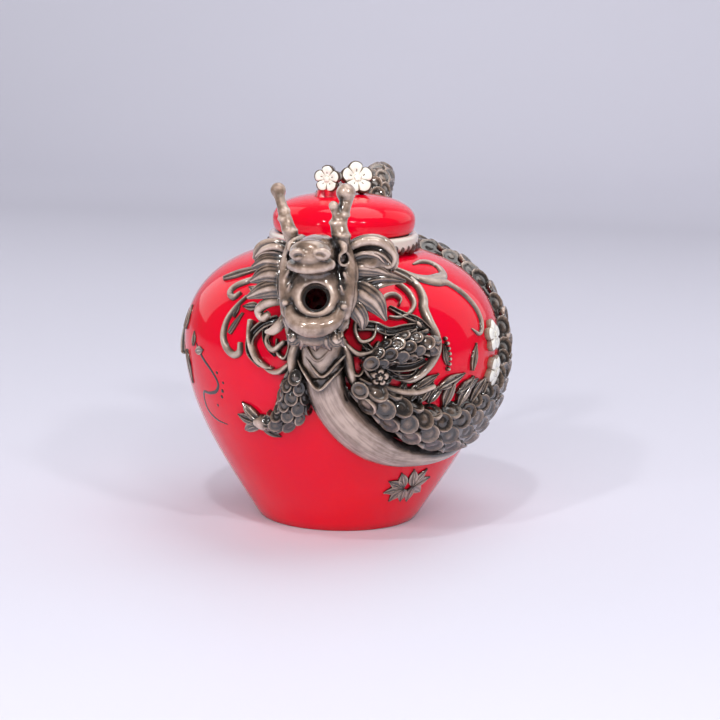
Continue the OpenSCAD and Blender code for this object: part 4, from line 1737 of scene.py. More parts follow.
@dataclass
class Head:
    """The head over the spout: skull, jaw, nose, horns, ears, eyes, mane, beard and whiskers."""

    x: float = 1.2
    mouth: Triple = (1.2, -93.0, 115.0)
    tilt: float = 25.0
    bore_r: float = 4.75
    bore_back: float = 30
    bore_front: float = 14
    bulk: float = 1.34
    pitch: float = 0.55

    def spout_line(self) -> tuple[Array, Array]:
        """The mouth's centre and the way the spout pours."""
        t = radians(self.tilt)
        return np.array(self.mouth), np.array([0, -cos(t), sin(t)])

    def skull(self) -> Form:
        """The skull and muzzle, with brows, cheeks, palate and the rim of the spout.

        Returns:
            A closed mesh.
        """
        centre, out = self.spout_line()
        clay = Clay((-20, -106, 102), (22, -62, 143), self.pitch)
        clay.ball((0.2, -77, 128), (13.2, 11, 11.4)).ball((0.8, -77, 116), (12.6, 12, 13), 3)
        clay.strand([(0.4, -83, 131.4, 9.6), (-0.2, -91, 132.8, 8.6), (-0.6, -97.6, 133.4, 7.0)], 2.6)
        clay.ball((0.4, -85, 114.6), (13.4, 11.0, 13.4), 4)
        for s in (-1, 1):
            x = self.x + (1.4 if s > 0 else -2.6)
            clay.strand([(x + 5.4 * s, -84, 138.4, 2.2), (x + 8.6 * s, -87.4, 136.8, 1.9),
                (x + 9.4 * s, -88.6, 133, 1.3)], 1.2)
            clay.strand([(x + 8.8 * s, -82, 137.4, 2.8), (x + 10.8 * s, -84.6, 128, 3.2),
                (x + 10.6 * s, -87.0, 118, 3.6), (x + 9.0 * s, -88.6, 109, 4.0)], 2.0)
            clay.strand([(x + 12.4 * s, -82.6, 132, 1.2), (x + 13.8 * s, -84, 125, 1.4),
                (x + 13.2 * s, -85.6, 117, 1.3)], 0.6)
            clay.strand([(x + 9.6 * s, -89.2, 125.6, 0.8), (x + 11.4 * s, -88.6, 121, 1.0),
                (x + 9.8 * s, -90.6, 117.6, 0.8), (x + 8.6 * s, -91.4, 120.6, 0.6)], 0.4)
            clay.ball((x + 9.7 * s, -87.6, 131.6), (2.4, 2.6, 2.9), 0.9, cut=True)
            clay.ring((x + 9.3 * s, -88.2, 131.6), (0.72 * s, -0.68, 0.1), 2.8, 0.75, 0.6)
        clay.strand([(-8.4, -96.6, 129.4, 2.4), (-4.4, -101.0, 128.9, 2.6), (-0.6, -102.2, 128.6, 2.7),
            (3.2, -101.0, 129.3, 2.6), (7.2, -96.6, 130.2, 2.4)], 1.4)
        clay.ball((0.4, -99.8, 123.8), (8.0, 5.6, 3.4), 2.2, cut=True)
        clay.ring(centre - out * 0.3, out, 7.0, 1.9, 2.0)
        for x, z, r in ((-7.6, 104.8, 2.2), (9.4, 105.4, 2.2), (-11.4, 112.6, 1.8), (12.6, 112.0, 1.8),
            (-3.0, 137.8, 1.6), (2.8, 138.2, 1.5)):
            clay.ball((x, -92.4 if z < 120 else -92.0, z), (r, r, r * 0.8), 1.2)
        clay.strand([(*(centre - out * 1.2), self.bore_r + 0.3), (*(centre + out * 1.6), 6.2)], 0.5, cut=True)
        clay.tunnel(tuple(centre - out * self.bore_back), tuple(centre + out * self.bore_front), self.bore_r)
        return clay.skin()

    def jaw(self) -> Form:
        """The lower jaw, cupped round the spout's rim.

        Returns:
            A closed mesh.
        """
        centre, out = self.spout_line()
        clay = Clay((-18, -104, 92), (20, -70, 116), self.pitch)
        clay.ball((0.4, -86, 105.4), (12.6, 10.8, 9.0))
        clay.strand([(-9.4, -90.4, 110.6, 3.2), (-7.8, -94.6, 106.2, 3.6), (-2.4, -97.2, 103.8, 4.2),
            (3.4, -97.2, 103.8, 4.2), (8.8, -94.6, 106.2, 3.6), (10.6, -90.4, 110.6, 3.2)], 2.4)
        clay.strand([(-11, -87, 105, 2.8), (-7, -92.6, 99.8, 2.6), (0.4, -94.4, 97.8, 2.6), (8.0, -92.6, 99.8, 2.6),
            (12, -87, 105, 2.8)], 1.8)
        clay.tunnel(tuple(centre - out * self.bore_back), tuple(centre + out * self.bore_front), self.bore_r + 1.2)
        return clay.skin()

    def nose(self) -> Form:
        """The nose pad with its two slit nostrils.

        Returns:
            A closed mesh.
        """
        clay = Clay((-12, -106.4, 127), (11, -91, 143), 0.45)
        clay.ball((-0.6, -98.4, 135.2), (8.8, 5.6, 5.4))
        for s, x, z in ((-1, -4.6, 134.2), (1, 3.8, 134.9)):
            clay.ball((x, -100.8, z), (3.8, 3.4, 2.8), 1.6)
            clay.strand([(x + 3.4 * s, -101.4, z + 0.4, 1.0), (x + 1.4 * s, -103.2, z + 1.9, 1.1),
                (x - 1.6 * s, -103.2, z + 1.3, 1.0)], 1.0)
            clay.strand([(x + 2.4 * s, -103.6, z - 0.4, 0.55), (x + 0.4 * s, -104.6, z + 0.7, 0.8),
                (x - 0.8 * s, -104.4, z + 0.5, 0.6)], 0.5, cut=True)
        return clay.skin()

    def horn(self, path: Path, knob: Place, twig: Path, bumps: Place) -> Form:
        """A knobbed horn.

        Args:
            path: Its strand.
            knob: The ball at its tip, as x, y, z and radius.
            twig: A side twig, or nothing.
            bumps: Shares of its length that carry a swelling.

        Returns:
            Its mesh.
        """
        points = np.vstack([np.asarray(path)[:, :3], np.asarray(knob)[None, :3]])
        clay = Clay(points.min(0) - 7, points.max(0) + 7, 0.5)
        clay.strand(path, 0.8, 6)
        line = smooth_path(path, 8)
        for n, share in enumerate(bumps):
            x, y, z, r = line[int(share * (len(line) - 1))]
            clay.ball((x + 0.5 * (-1) ** n, y - 0.5, z), (r * 1.08, r * 1.05, 1.5), 1.0)
        if len(twig):
            clay.strand(twig, 0.8)
            clay.ball(twig[-1][:3], (twig[-1][3] * 1.15,) * 3, 0.5)
        clay.ball(knob[:3], (knob[3],) * 3, 1.4)
        return clay.skin()

    def locks(self, name: str, shop: Workshop, nodes: Sequence[str], rows: Sequence[tuple[Section, Path]],
        facing: Place = (0, -1, 0.15)) -> None:
        """Lays a group of swept locks.

        Args:
            name: The piece's name.
            shop: The workshop.
            nodes: The CAD nodes it stands for.
            rows: Each lock's section and path.
            facing: The way the locks' tops look.
        """
        size = np.array([1, 1, 1, self.bulk, self.bulk])
        form = gathered(sweep(np.array(path) * size, facing, kind, 7) for kind, path in rows)
        shop.lustred(name, form, nodes)

    def build(self, shop: Workshop) -> None:
        """Models the head.

        Args:
            shop: The workshop.
        """
        lustre, silver = shop.lustre, Slot.SILVER
        shop.lustred("skull", self.skull(), ["dragon_head"])
        shop.lustred("jaw", self.jaw(), ["lower_jaw"])
        shop.lustred("nose", self.nose(), ["nose_pad"])
        left = [(-6.5, -81, 131, 3.2), (-10.4, -83, 138, 3.2), (-13, -82, 144, 2.9), (-15.6, -79, 150.5, 2.3),
            (-17.6, -76, 155, 2.2)]
        shop.lustred("horn_left", self.horn(left, (-18.4, -74.6, 157.6, 3.3), (), (0.42, 0.6, 0.74)), ["left_horn"])
        right = [(8, -81, 131, 3.6), (10, -83.4, 138, 3.8), (8.6, -82, 145, 3.5), (9.8, -79.5, 150, 3.0),
            (11, -77, 154, 2.6)]
        twig = [(8.9, -81.5, 146.6, 2.1), (7.2, -82.4, 150.3, 1.8), (6.4, -82.8, 152.8, 1.8)]
        shop.lustred("horn_right", self.horn(right, (10.6, -76.2, 157.6, 4.1), twig, (0.36, 0.56, 0.7)),
            ["right_horn"])
        for side, node in ((-1, "left_eye"), (1, "right_eye")):
            clay = Clay((self.x + side * 9.4 - 4, -92, 127), (self.x + side * 9.4 + 4, -83, 136), 0.35)
            clay.ball((self.x + side * 9.3, -87.2, 131.4), (1.8, 2.0, 2.2))
            shop.deliver(make_object("eye_right" if side > 0 else "eye_left", clay.skin()), shop.dark,
                [node])
        self.locks("ear_left", shop, ["left_ear"], [
            (LEAF, [(-10, -79, 128, 6, 5), (-17, -78, 131.4, 9, 5), (-23.4, -76, 131, 8, 4),
                (-27.4, -74, 127.6, 3, 2.4)]),
            (ROUND, [(-11, -80.4, 131.4, 2.6, 3), (-17, -80, 134.2, 2.6, 3), (-23, -78, 133, 2.2, 2.6),
                (-27, -75, 129.4, 1.4, 1.6)]),
        ])
        self.locks("ear_right", shop, ["right_ear"], [
            (LEAF, [(12, -80, 130, 8, 5), (19, -79, 133.2, 11, 6), (25.6, -78, 133, 11, 5), (30, -76, 129, 6, 4),
                (30.4, -75, 125.6, 2, 2)]),
            (ROUND, [(12.4, -82, 135, 3, 3.4), (19, -81.6, 138.2, 3.2, 3.6), (26, -79.6, 137.8, 3.2, 3.4),
                (31, -77, 133.2, 2.8, 3), (31.4, -76, 129.6, 2.8, 3), (28.6, -76.6, 127.4, 2.4, 2.4),
                (26.4, -77.4, 129.4, 1.4, 1.6)]),
            (ROUND, [(13.4, -82.4, 131, 1.6, 2), (19, -81.4, 133.4, 1.8, 2.2), (24.6, -80, 132.4, 1.6, 2),
                (27.4, -78.4, 129.6, 1.0, 1.2)]),
        ])
        self.locks("mane_left", shop, ["left_mane"], [
            (LOCK, [(-10, -80, 126, 4, 4), (-16, -79, 127.4, 5.6, 4.6), (-22.4, -77, 127.6, 5, 4),
                (-28.4, -74, 124.6, 1.6, 2)]),
            (LOCK, [(-10, -81, 121, 5, 4), (-16.4, -80.4, 122.4, 7.4, 5), (-22.6, -78, 121.8, 6.6, 4),
                (-28.8, -74.6, 118.6, 1.8, 2)]),
            (LOCK, [(-10, -81.6, 115, 5, 4), (-16.4, -81, 116.8, 6.8, 5), (-23, -78.6, 115.4, 6, 4),
                (-30, -75, 111.8, 1.8, 2)]),
            (ROUND, [(-11, -82, 110.6, 3, 3), (-16, -81.6, 111.8, 3.4, 3.4), (-21.6, -79.4, 110, 3.4, 3.4),
                (-25.4, -77, 106.4, 3.2, 3.2), (-23.6, -78, 103.4, 2.8, 2.8), (-20.8, -79.4, 105.6, 2.2, 2.2)]),
            (ROUND, [(-12, -83.6, 107, 3, 3), (-14.6, -84, 102.6, 3.4, 3.4), (-18.2, -83, 99, 3, 3),
                (-21.4, -81, 98, 1.4, 1.6)]),
            (LOCK, [(-9, -84, 131, 2.4, 3), (-13.6, -84.6, 125, 3.4, 4), (-14.2, -85.6, 117, 3.4, 4),
                (-11.8, -87, 109, 2.4, 3)]),
        ])
        self.locks("mane_right", shop, ["right_mane"], [
            (LOCK, [(12, -80.6, 126, 5, 4), (18, -80, 127, 6.4, 5), (24.6, -77.6, 126, 5, 4),
                (30.6, -75, 123.2, 1.6, 2)]),
            (LEAF, [(13, -80.6, 118.6, 5, 4), (20, -79.6, 120.6, 6.6, 5), (28, -76.6, 122, 5, 4),
                (35.4, -73.4, 121, 1.4, 2)]),
            (LOCK, [(13, -82, 119, 5, 4), (19, -82, 116.4, 8.4, 6), (24.6, -80, 112, 7, 5),
                (28.6, -78, 105.4, 1.6, 2)]),
            (LOCK, [(12, -83.6, 113, 4, 4), (16.6, -84, 110, 6, 5), (19.4, -82.6, 105.6, 4.6, 4),
                (19.6, -81, 101.6, 1.6, 2)]),
            (ROUND, [(12.6, -84.2, 127, 2.6, 3), (15.4, -85, 121, 3.2, 3.6), (15.6, -86, 114, 3.2, 3.6),
                (13.2, -87.4, 107, 2.6, 3), (13.4, -87, 102.6, 1.4, 2)]),
        ])
        beard = [
            (LOCK, [(self.x + x, -92.6, 101.4, 5, 3.4), (self.x + x * 1.05, -94, 98.4, 5.6, 3.8),
                (self.x + x * 1.2, -92.4, 95.4 + lift, 3.6, 3), (self.x + x * 1.4, -90, 92.8 + lift, 1.0, 1.4)])
            for x, lift in ((-8.2, 2.6), (-4.4, 0.6), (0, 0), (4.4, 0.6), (8.2, 2.6))
        ]
        self.locks("beard_locks", shop, ["beard"], beard, (0, -1, 0))
        chart = shop.chart
        left_ribbons = [
            chart.band([(-26, 107, 3, 5), (-25, 99, 3.2, 4.5), (-22, 92, 3.2, 4), (-18.5, 89, 2.6, 3),
                (-16, 88.5, 1.4, 2)]),
            chart.band([(-13.5, 110, 2.2, 4), (-11.5, 105, 2.4, 4), (-10, 98.5, 2.4, 4), (-11.6, 93.5, 2.4, 3.6),
                (-14.6, 96, 2.2, 3), (-15.2, 101, 1.6, 2)]),
            chart.band([(-19.6, 106, 2.2, 3.4), (-19, 101.4, 3.2, 3.8), (-17.2, 97, 2.6, 3.2), (-15.6, 94, 1, 1.6)],
                RIBBON, 8),
        ]
        shop.lustred("whisker_left", gathered(left_ribbons), ["left_whisker"])
        right_ribbons = [
            chart.band([(8.4, 102, 2.6, 5), (9, 95, 3, 6), (10.8, 89.4, 3, 6), (13.4, 88, 2.4, 5), (15, 91, 2, 4),
                (14.6, 95.6, 1.4, 3)]),
            chart.band([(13, 112.5, 2, 5), (12, 106.5, 2.4, 5), (14, 101.5, 2.8, 5), (18, 103, 2.4, 4.5),
                (19.4, 108, 1.8, 4)]),
            chart.band([(14.6, 99, 2, 3.4), (18.6, 98.2, 2.4, 3.8), (22.2, 101.6, 2.4, 3.4),
                (22.6, 106.6, 1.6, 2.6)]),
        ]
        shop.lustred("whisker_right", gathered(right_ribbons), ["right_whisker"])


@dataclass
class Scaling:
    """How a band is covered with scales."""

    pitch: float
    rows: int
    reach: float = 66.0
    proud: float = 1.15
    long: float = 1.32
    wide: float = 1.22
    step: float = 0.74

    def marks(self, chart: WallChart, path: Path, start: float = 0.0, end: float = 1.0) -> Marks:
        """Lays staggered scales over a domed band on the wall, growing along its path.

        Args:
            chart: The wall's chart.
            path: The band's rows.
            start: Share of the length where they begin.
            end: Share of the length where they end.

        Returns:
            The marks.
        """
        line = smooth_path(path, 24)
        line[:, 2:] = np.maximum(line[:, 2:], 0.5)
        centre = chart.points(line[:, 0], line[:, 1], np.zeros(len(line)))
        along = travelled(centre)
        k = chart.per_degree(line[:, 1])
        heading = np.arctan2(np.gradient(line[:, 1]), np.gradient(line[:, 0]) * k)
        heading = np.unwrap(heading)
        marks = Marks()
        total = int(along[-1] / (self.pitch * self.step))
        for n in range(total + 1):
            t = n * self.pitch * self.step
            if not start * along[-1] <= t <= end * along[-1]:
                continue
            a, s, w, h, turn = (float(np.interp(t, along, v))
                for v in (line[:, 0], line[:, 1], line[:, 2], line[:, 3], heading))
            girth = 2 * radians(self.reach) * (w / 2 + h) / 2
            across = max(1, min(self.rows, round(girth / self.pitch)))
            shift = 0.5 if n % 2 else 0.0
            for m in range(-across, across + 1):
                b = radians(self.reach) * (m + shift) * 2 / max(across, 1)
                if abs(b) > radians(self.reach):
                    continue
                side_step = w / 2 * sin(b)
                per = float(chart.per_degree(s))
                az = a + side_step * sin(turn) / per
                run = s - side_step * cos(turn)
                out, side, up = (v for v in chart.frame(az, run))
                ahead = side * cos(turn) + up * sin(turn)
                lateral = side * sin(turn) - up * cos(turn)
                normal = unit(lateral * (sin(b) / (w / 2)) + out * (cos(b) / h))
                at = chart.points(az, run, h * cos(b) - 0.15)
                size = min(self.pitch, girth / (across + 0.4) * 1.1)
                marks.add(at, normal, ahead, (size * self.long, size * self.wide, self.proud * size / 7))
        return marks


@dataclass
class Coil:
    """The dragon's long body on the wall, from its throat to where the tail leaves."""

    belly: Path = (
        (1.8, 87.6, 11, 10.4), (3, 81, 12.6, 9.8), (5.8, 73.6, 15, 9.5), (10.6, 66, 17, 9.5),
        (16, 59.6, 17, 9.2), (21.5, 54.6, 15.6, 8.6), (28, 50.2, 12.6, 7.6), (36, 47.3, 10.4, 6.2),
        (48, 44.8, 7.6, 4.6), (60, 43.6, 5, 3), (70, 43.6, 2.4, 1.6),
    )
    fullness: Place = (1.62, 1.4, 1.2, 1.12, 1.1, 1.1, 1.1, 1.1, 1.1, 1.1, 1.1)
    back: Path = (
        (13.2, 83.2, 8, 7.5), (18, 78.7, 10.4, 8.5), (24, 73.2, 12, 8.5), (30.6, 68, 13, 8.2),
        (37, 63.6, 14, 7.6), (45.4, 60.6, 16.6, 6.8), (55, 59, 20.4, 6), (65, 59.4, 23, 5.4),
        (75, 61.4, 23, 5), (84, 64.5, 23, 5),
    )
    flank: Path = ((85, 65.2, 22.6, 5), (94, 71, 22, 5.6), (102, 80, 21, 6), (108.5, 91, 20, 6),
        (114, 102.5, 19, 6), (120, 113, 18, 6))
    shoulder: Path = ((120.8, 114.2, 18, 6), (127, 121, 17, 6.2), (137, 128.5, 16, 6.4), (149, 134.5, 14, 6.6),
        (160, 137.2, 13, 6.8), (168, 138, 12.6, 7))
    neck: Path = ((1.2, 100, 11.6, 13), (1.2, 96.4, 11.4, 12.8), (1.3, 92.5, 11, 12.2), (1.6, 88, 11, 10.8))
    spines: Path = ((93, 70.4, 5.7), (100.2, 77.6, 6.1), (105.8, 86, 6.2), (110.8, 96.2, 6.2), (116.2, 107, 6.2),
        (126.4, 120.6, 6.5), (136, 127.9, 6.7), (148, 134.2, 6.9))

    def scaled(self, shop: Workshop, name: str, node: str, path: Path, scaling: Scaling, seed: int,
        ends: tuple[bool, bool] = (True, True)) -> None:
        """Makes one stretch of body with its scales.

        Args:
            shop: The workshop.
            name: The piece's name.
            node: The CAD node it stands for.
            path: Its rows on the wall.
            scaling: How its scales lie.
            seed: Seed of their size.
            ends: Which ends are rounded.
        """
        path = widened(path, 1.16)
        base = shop.chart.band(path, ends=ends)
        base.rise[:] = SUNK_RISE
        piece = shop.stamps.press(name, scaling.marks(shop.chart, path), scale_stamp(), shop.lustre, base, 0.05,
            seed)
        shop.deliver(piece, shop.lustre, [node])

    def build(self, shop: Workshop) -> None:
        """Models the body.

        Args:
            shop: The workshop.
        """
        fuller = [(a, s, w * share, h) for (a, s, w, h), share in zip(self.belly, self.fullness)]
        belly = shop.chart.band(fuller, ROUND, 12)
        belly.rise = 0.2 + 0.72 * belly.rise
        shop.lustred("belly", belly, ["belly_plate"], shop.streaked)
        self.scaled(shop, "back", "back_scales", self.back, Scaling(8.2, 4, proud=1.35), 11, (True, False))
        self.scaled(shop, "flank", "flank_body", self.flank, Scaling(8.4, 5, proud=1.35), 12, (False, False))
        self.scaled(shop, "shoulder", "shoulder_body", self.shoulder, Scaling(7.6, 4, proud=1.35), 13,
            (False, True))
        throat = shop.chart.band(widened(self.neck, 1.6))
        folds = [
            shop.chart.band([(1.2 + lean - 7.4, run + 6.4, 1.8, 5.4), (1.2 + lean - 4.2, run + 2.4, 2.6, 11.4),
                (1.2 + lean, run - 3, 2.6, 13.4), (1.2 + lean + 4.2, run + 1.6, 2.6, 11.4),
                (1.2 + lean + 7.4, run + 5, 1.8, 5.4)], ROUND, 6)
            for run, lean in ((97.4, -0.6), (91.8, 0.8), (87, -0.2))
        ]
        shop.lustred("throat", gathered([throat, *folds]), ["dragon_neck"])
        marks = Marks()
        for a, s, h in self.spines:
            out, side, _ = shop.chart.frame(a, s)
            marks.add(shop.chart.points(a, s, h - 0.1), unit(out + 0.35 * side), side, (5.2, 3.6, 1.7))
        cone = disc_stamp((0.3, 0.6, 0.85, 1.0), 12, lambda r, _: (1 - r**1.3 if r < 1 else -0.3, 1 - 0.5 * r),
            lambda a: 0.5)
        shop.deliver(shop.stamps.press("back_spines", marks, cone, shop.lustre, spread=0.1, seed=3), shop.lustre,
            ["dorsal_fins"])


@dataclass
class Tail:
    """The tail that springs off the wall as the handle, and its tuft."""

    line: Path = (
        (3.2, 49, 125, 6.6), (5.5, 57, 136.5, 6.6), (7, 68, 145.5, 6.6), (6.6, 80, 147.4, 6.6), (5, 89, 140, 6.3),
        (3, 92.5, 127, 5.8), (1.4, 91, 112, 5.3), (0.4, 85.5, 99, 4.9), (0, 78.6, 88, 4.6),
    )
    pitch: float = 7.4
    step: float = 0.72
    scale: Triple = (9.768, 8.88, 1.25)
    skin: float = 1.1

    def marks(self) -> Marks:
        """Lays scales all round the tail, growing along it.

        Returns:
            The marks.
        """
        line = smooth_path(self.line, 24)
        along = travelled(line[:, :3])
        ahead_all = unit(np.gradient(line[:, :3], axis=0))
        marks = Marks()
        for n in range(1, int(along[-1] / (self.pitch * self.step))):
            t = n * self.pitch * self.step
            x, y, z, r = (float(np.interp(t, along, line[:, i])) for i in range(4))
            ahead = unit(np.array([np.interp(t, along, ahead_all[:, i]) for i in range(3)]))
            side = unit(np.cross(ahead, np.array([1.0, 0, 0])))
            other = np.cross(ahead, side)
            around = max(5, round(2 * pi * r / self.pitch))
            for m in range(around):
                b = 2 * pi * (m + 0.5 * (n % 2)) / around
                normal = side * cos(b) + other * sin(b)
                marks.add(np.array([x, y, z]) + normal * (r - self.skin), normal, ahead, self.scale)
        return marks

    def build(self, shop: Workshop) -> None:
        """Models the tail.

        Args:
            shop: The workshop.
        """
        core = [(x, y, z, 2 * (r - self.skin + 0.1), 2 * (r - self.skin + 0.1)) for x, y, z, r in self.line]
        base = sweep(core, (1, 0, 0.02), ROUND, 8, 1.0)
        base.rise[:] = SUNK_RISE
        piece = shop.stamps.press("tail", self.marks(), scale_stamp(), shop.lustre, base, 0.05, 21)
        shop.deliver(piece, shop.lustre, ["tail_handle"])
        tuft = [
            sweep([(1, 62, 141, 6, 5), (-8, 67, 143.4, 7, 5), (-19, 73, 140.2, 5, 4), (-30, 78, 135.5, 1.2, 1.4)],
                (0, -0.6, 1), LOCK),
            sweep([(2, 70, 146, 5.4, 5), (-6, 76, 148, 5.4, 4.6), (-16, 83, 145, 3.6, 3.4), (-25, 90, 139, 1, 1.2)],
                (0, -0.4, 1), LOCK),
            sweep([(0, 84, 141, 5, 4.6), (-6, 89, 143, 4.8, 4.4), (-13, 96, 140, 3, 3), (-18, 101.6, 133.4, 1, 1)],
                (0, 0.2, 1), LOCK),
        ]
        shop.lustred("tail_locks", gathered(tuft), ["tail_tuft"])


@dataclass(frozen=True)
class Limb:
    """One leg and its paw."""

    leg: str
    paw: str
    path: Path
    centre: tuple[float, float]
    angle: float
    size: float
    pitch: float = 5.8


@dataclass
class Legs:
    """The four legs, each ringed with small scales, with leafy toes."""

    limbs: tuple[Limb, ...] = (
        Limb("left_foreleg", "left_forepaw", ((-6.6, 87.5, 9, 7), (-7.8, 81, 12.4, 7), (-8.4, 75, 13.4, 6.4),
            (-10, 70, 12.4, 6), (-13, 66, 9.4, 5.4), (-16.4, 64.2, 7, 4.6), (-19, 63.6, 6, 4)), (-22.2, 62.6), 172,
            8.2),
        Limb("right_foreleg", "right_forepaw", ((16.6, 93, 8, 6.5), (21.6, 95.8, 10.4, 7), (27, 98, 11.6, 7),
            (32, 99.6, 11.4, 6.6), (36.4, 100, 9.4, 6), (39.6, 98.8, 6, 5)), (35.4, 107.8), 118, 3.2, 5.6),
        Limb("right_hind_leg", "right_hind_paw", ((121.5, 91, 11, 6), (127, 87.6, 12.4, 6.4), (132.6, 81, 10.6, 6),
            (133.6, 73.6, 8, 5.2), (137.6, 68.4, 6, 4.6), (141, 67, 5, 4)), (145.4, 66), -12, 6.8),
        Limb("left_hind_leg", "left_hind_paw", ((-172, 92, 10, 5.6), (-165, 89, 12, 6.4), (-157, 83, 10.6, 6),
            (-153, 75, 8, 5.2), (-148.6, 69.4, 6, 4.6), (-145.4, 67.6, 5, 4)), (-141, 66), -12, 6.8),
    )

    toes: Path = ((-32, 1.5, 0.62), (0, 1.6, 0.66), (32, 1.5, 0.62), (136, 1.2, 0.5))

    def toe(self, chart: WallChart, limb: Limb, turn: float, length: float, width: float) -> Form:
        """One leafy toe.

        Args:
            chart: The wall's chart.
            limb: Its limb.
            turn: Its angle from the paw's direction.
            length: Its length, in paw sizes.
            width: Its width, in paw sizes.

        Returns:
            The toe's mesh.
        """
        a, s = limb.centre
        k = float(chart.per_degree(s))
        angle = radians(limb.angle + turn)
        rows = []
        for t, w, h in ((0.0, 0.5, 2.6), (0.35, 1.0, 3.2), (0.7, 0.85, 2.6), (1.0, 0.12, 1.2)):
            d = t * length * limb.size
            bend = 0.06 * turn / 30 * t * t * limb.size
            rows.append((a + (d * cos(angle) - bend * sin(angle)) / k, s + d * sin(angle) + bend * cos(angle),
                w * width * limb.size, h))
        return chart.band(rows, LEAF, 8)

    def build(self, shop: Workshop) -> None:
        """Models the legs.

        Args:
            shop: The workshop.
        """
        for n, limb in enumerate(self.limbs):
            base = shop.chart.band(limb.path)
            base.rise[:] = SUNK_RISE
            scaling = Scaling(limb.pitch, 4, 72, 1.5)
            piece = shop.stamps.press(limb.leg + "_skin", scaling.marks(shop.chart, limb.path), scale_stamp(),
                shop.lustre, base, 0.05, 31 + n)
            shop.deliver(piece, shop.lustre, [limb.leg])
            toes = [self.toe(shop.chart, limb, *row) for row in self.toes]
            a, s = limb.centre
            k = float(shop.chart.per_degree(s))
            turn = radians(limb.angle)
            rows = [
                (a + t * limb.size * cos(turn) / k, s + t * limb.size * sin(turn), limb.size * w, h)
                for t, w, h in ((-0.5, 0.8, 3.4), (0, 1, 3.6), (0.4, 0.7, 3.2))
            ]
            palm = shop.chart.band(rows, ROUND, 6)
            shop.lustred(limb.paw + "_toes", gathered([palm, *toes]), [limb.paw])


# --- Ornament on the wall ---


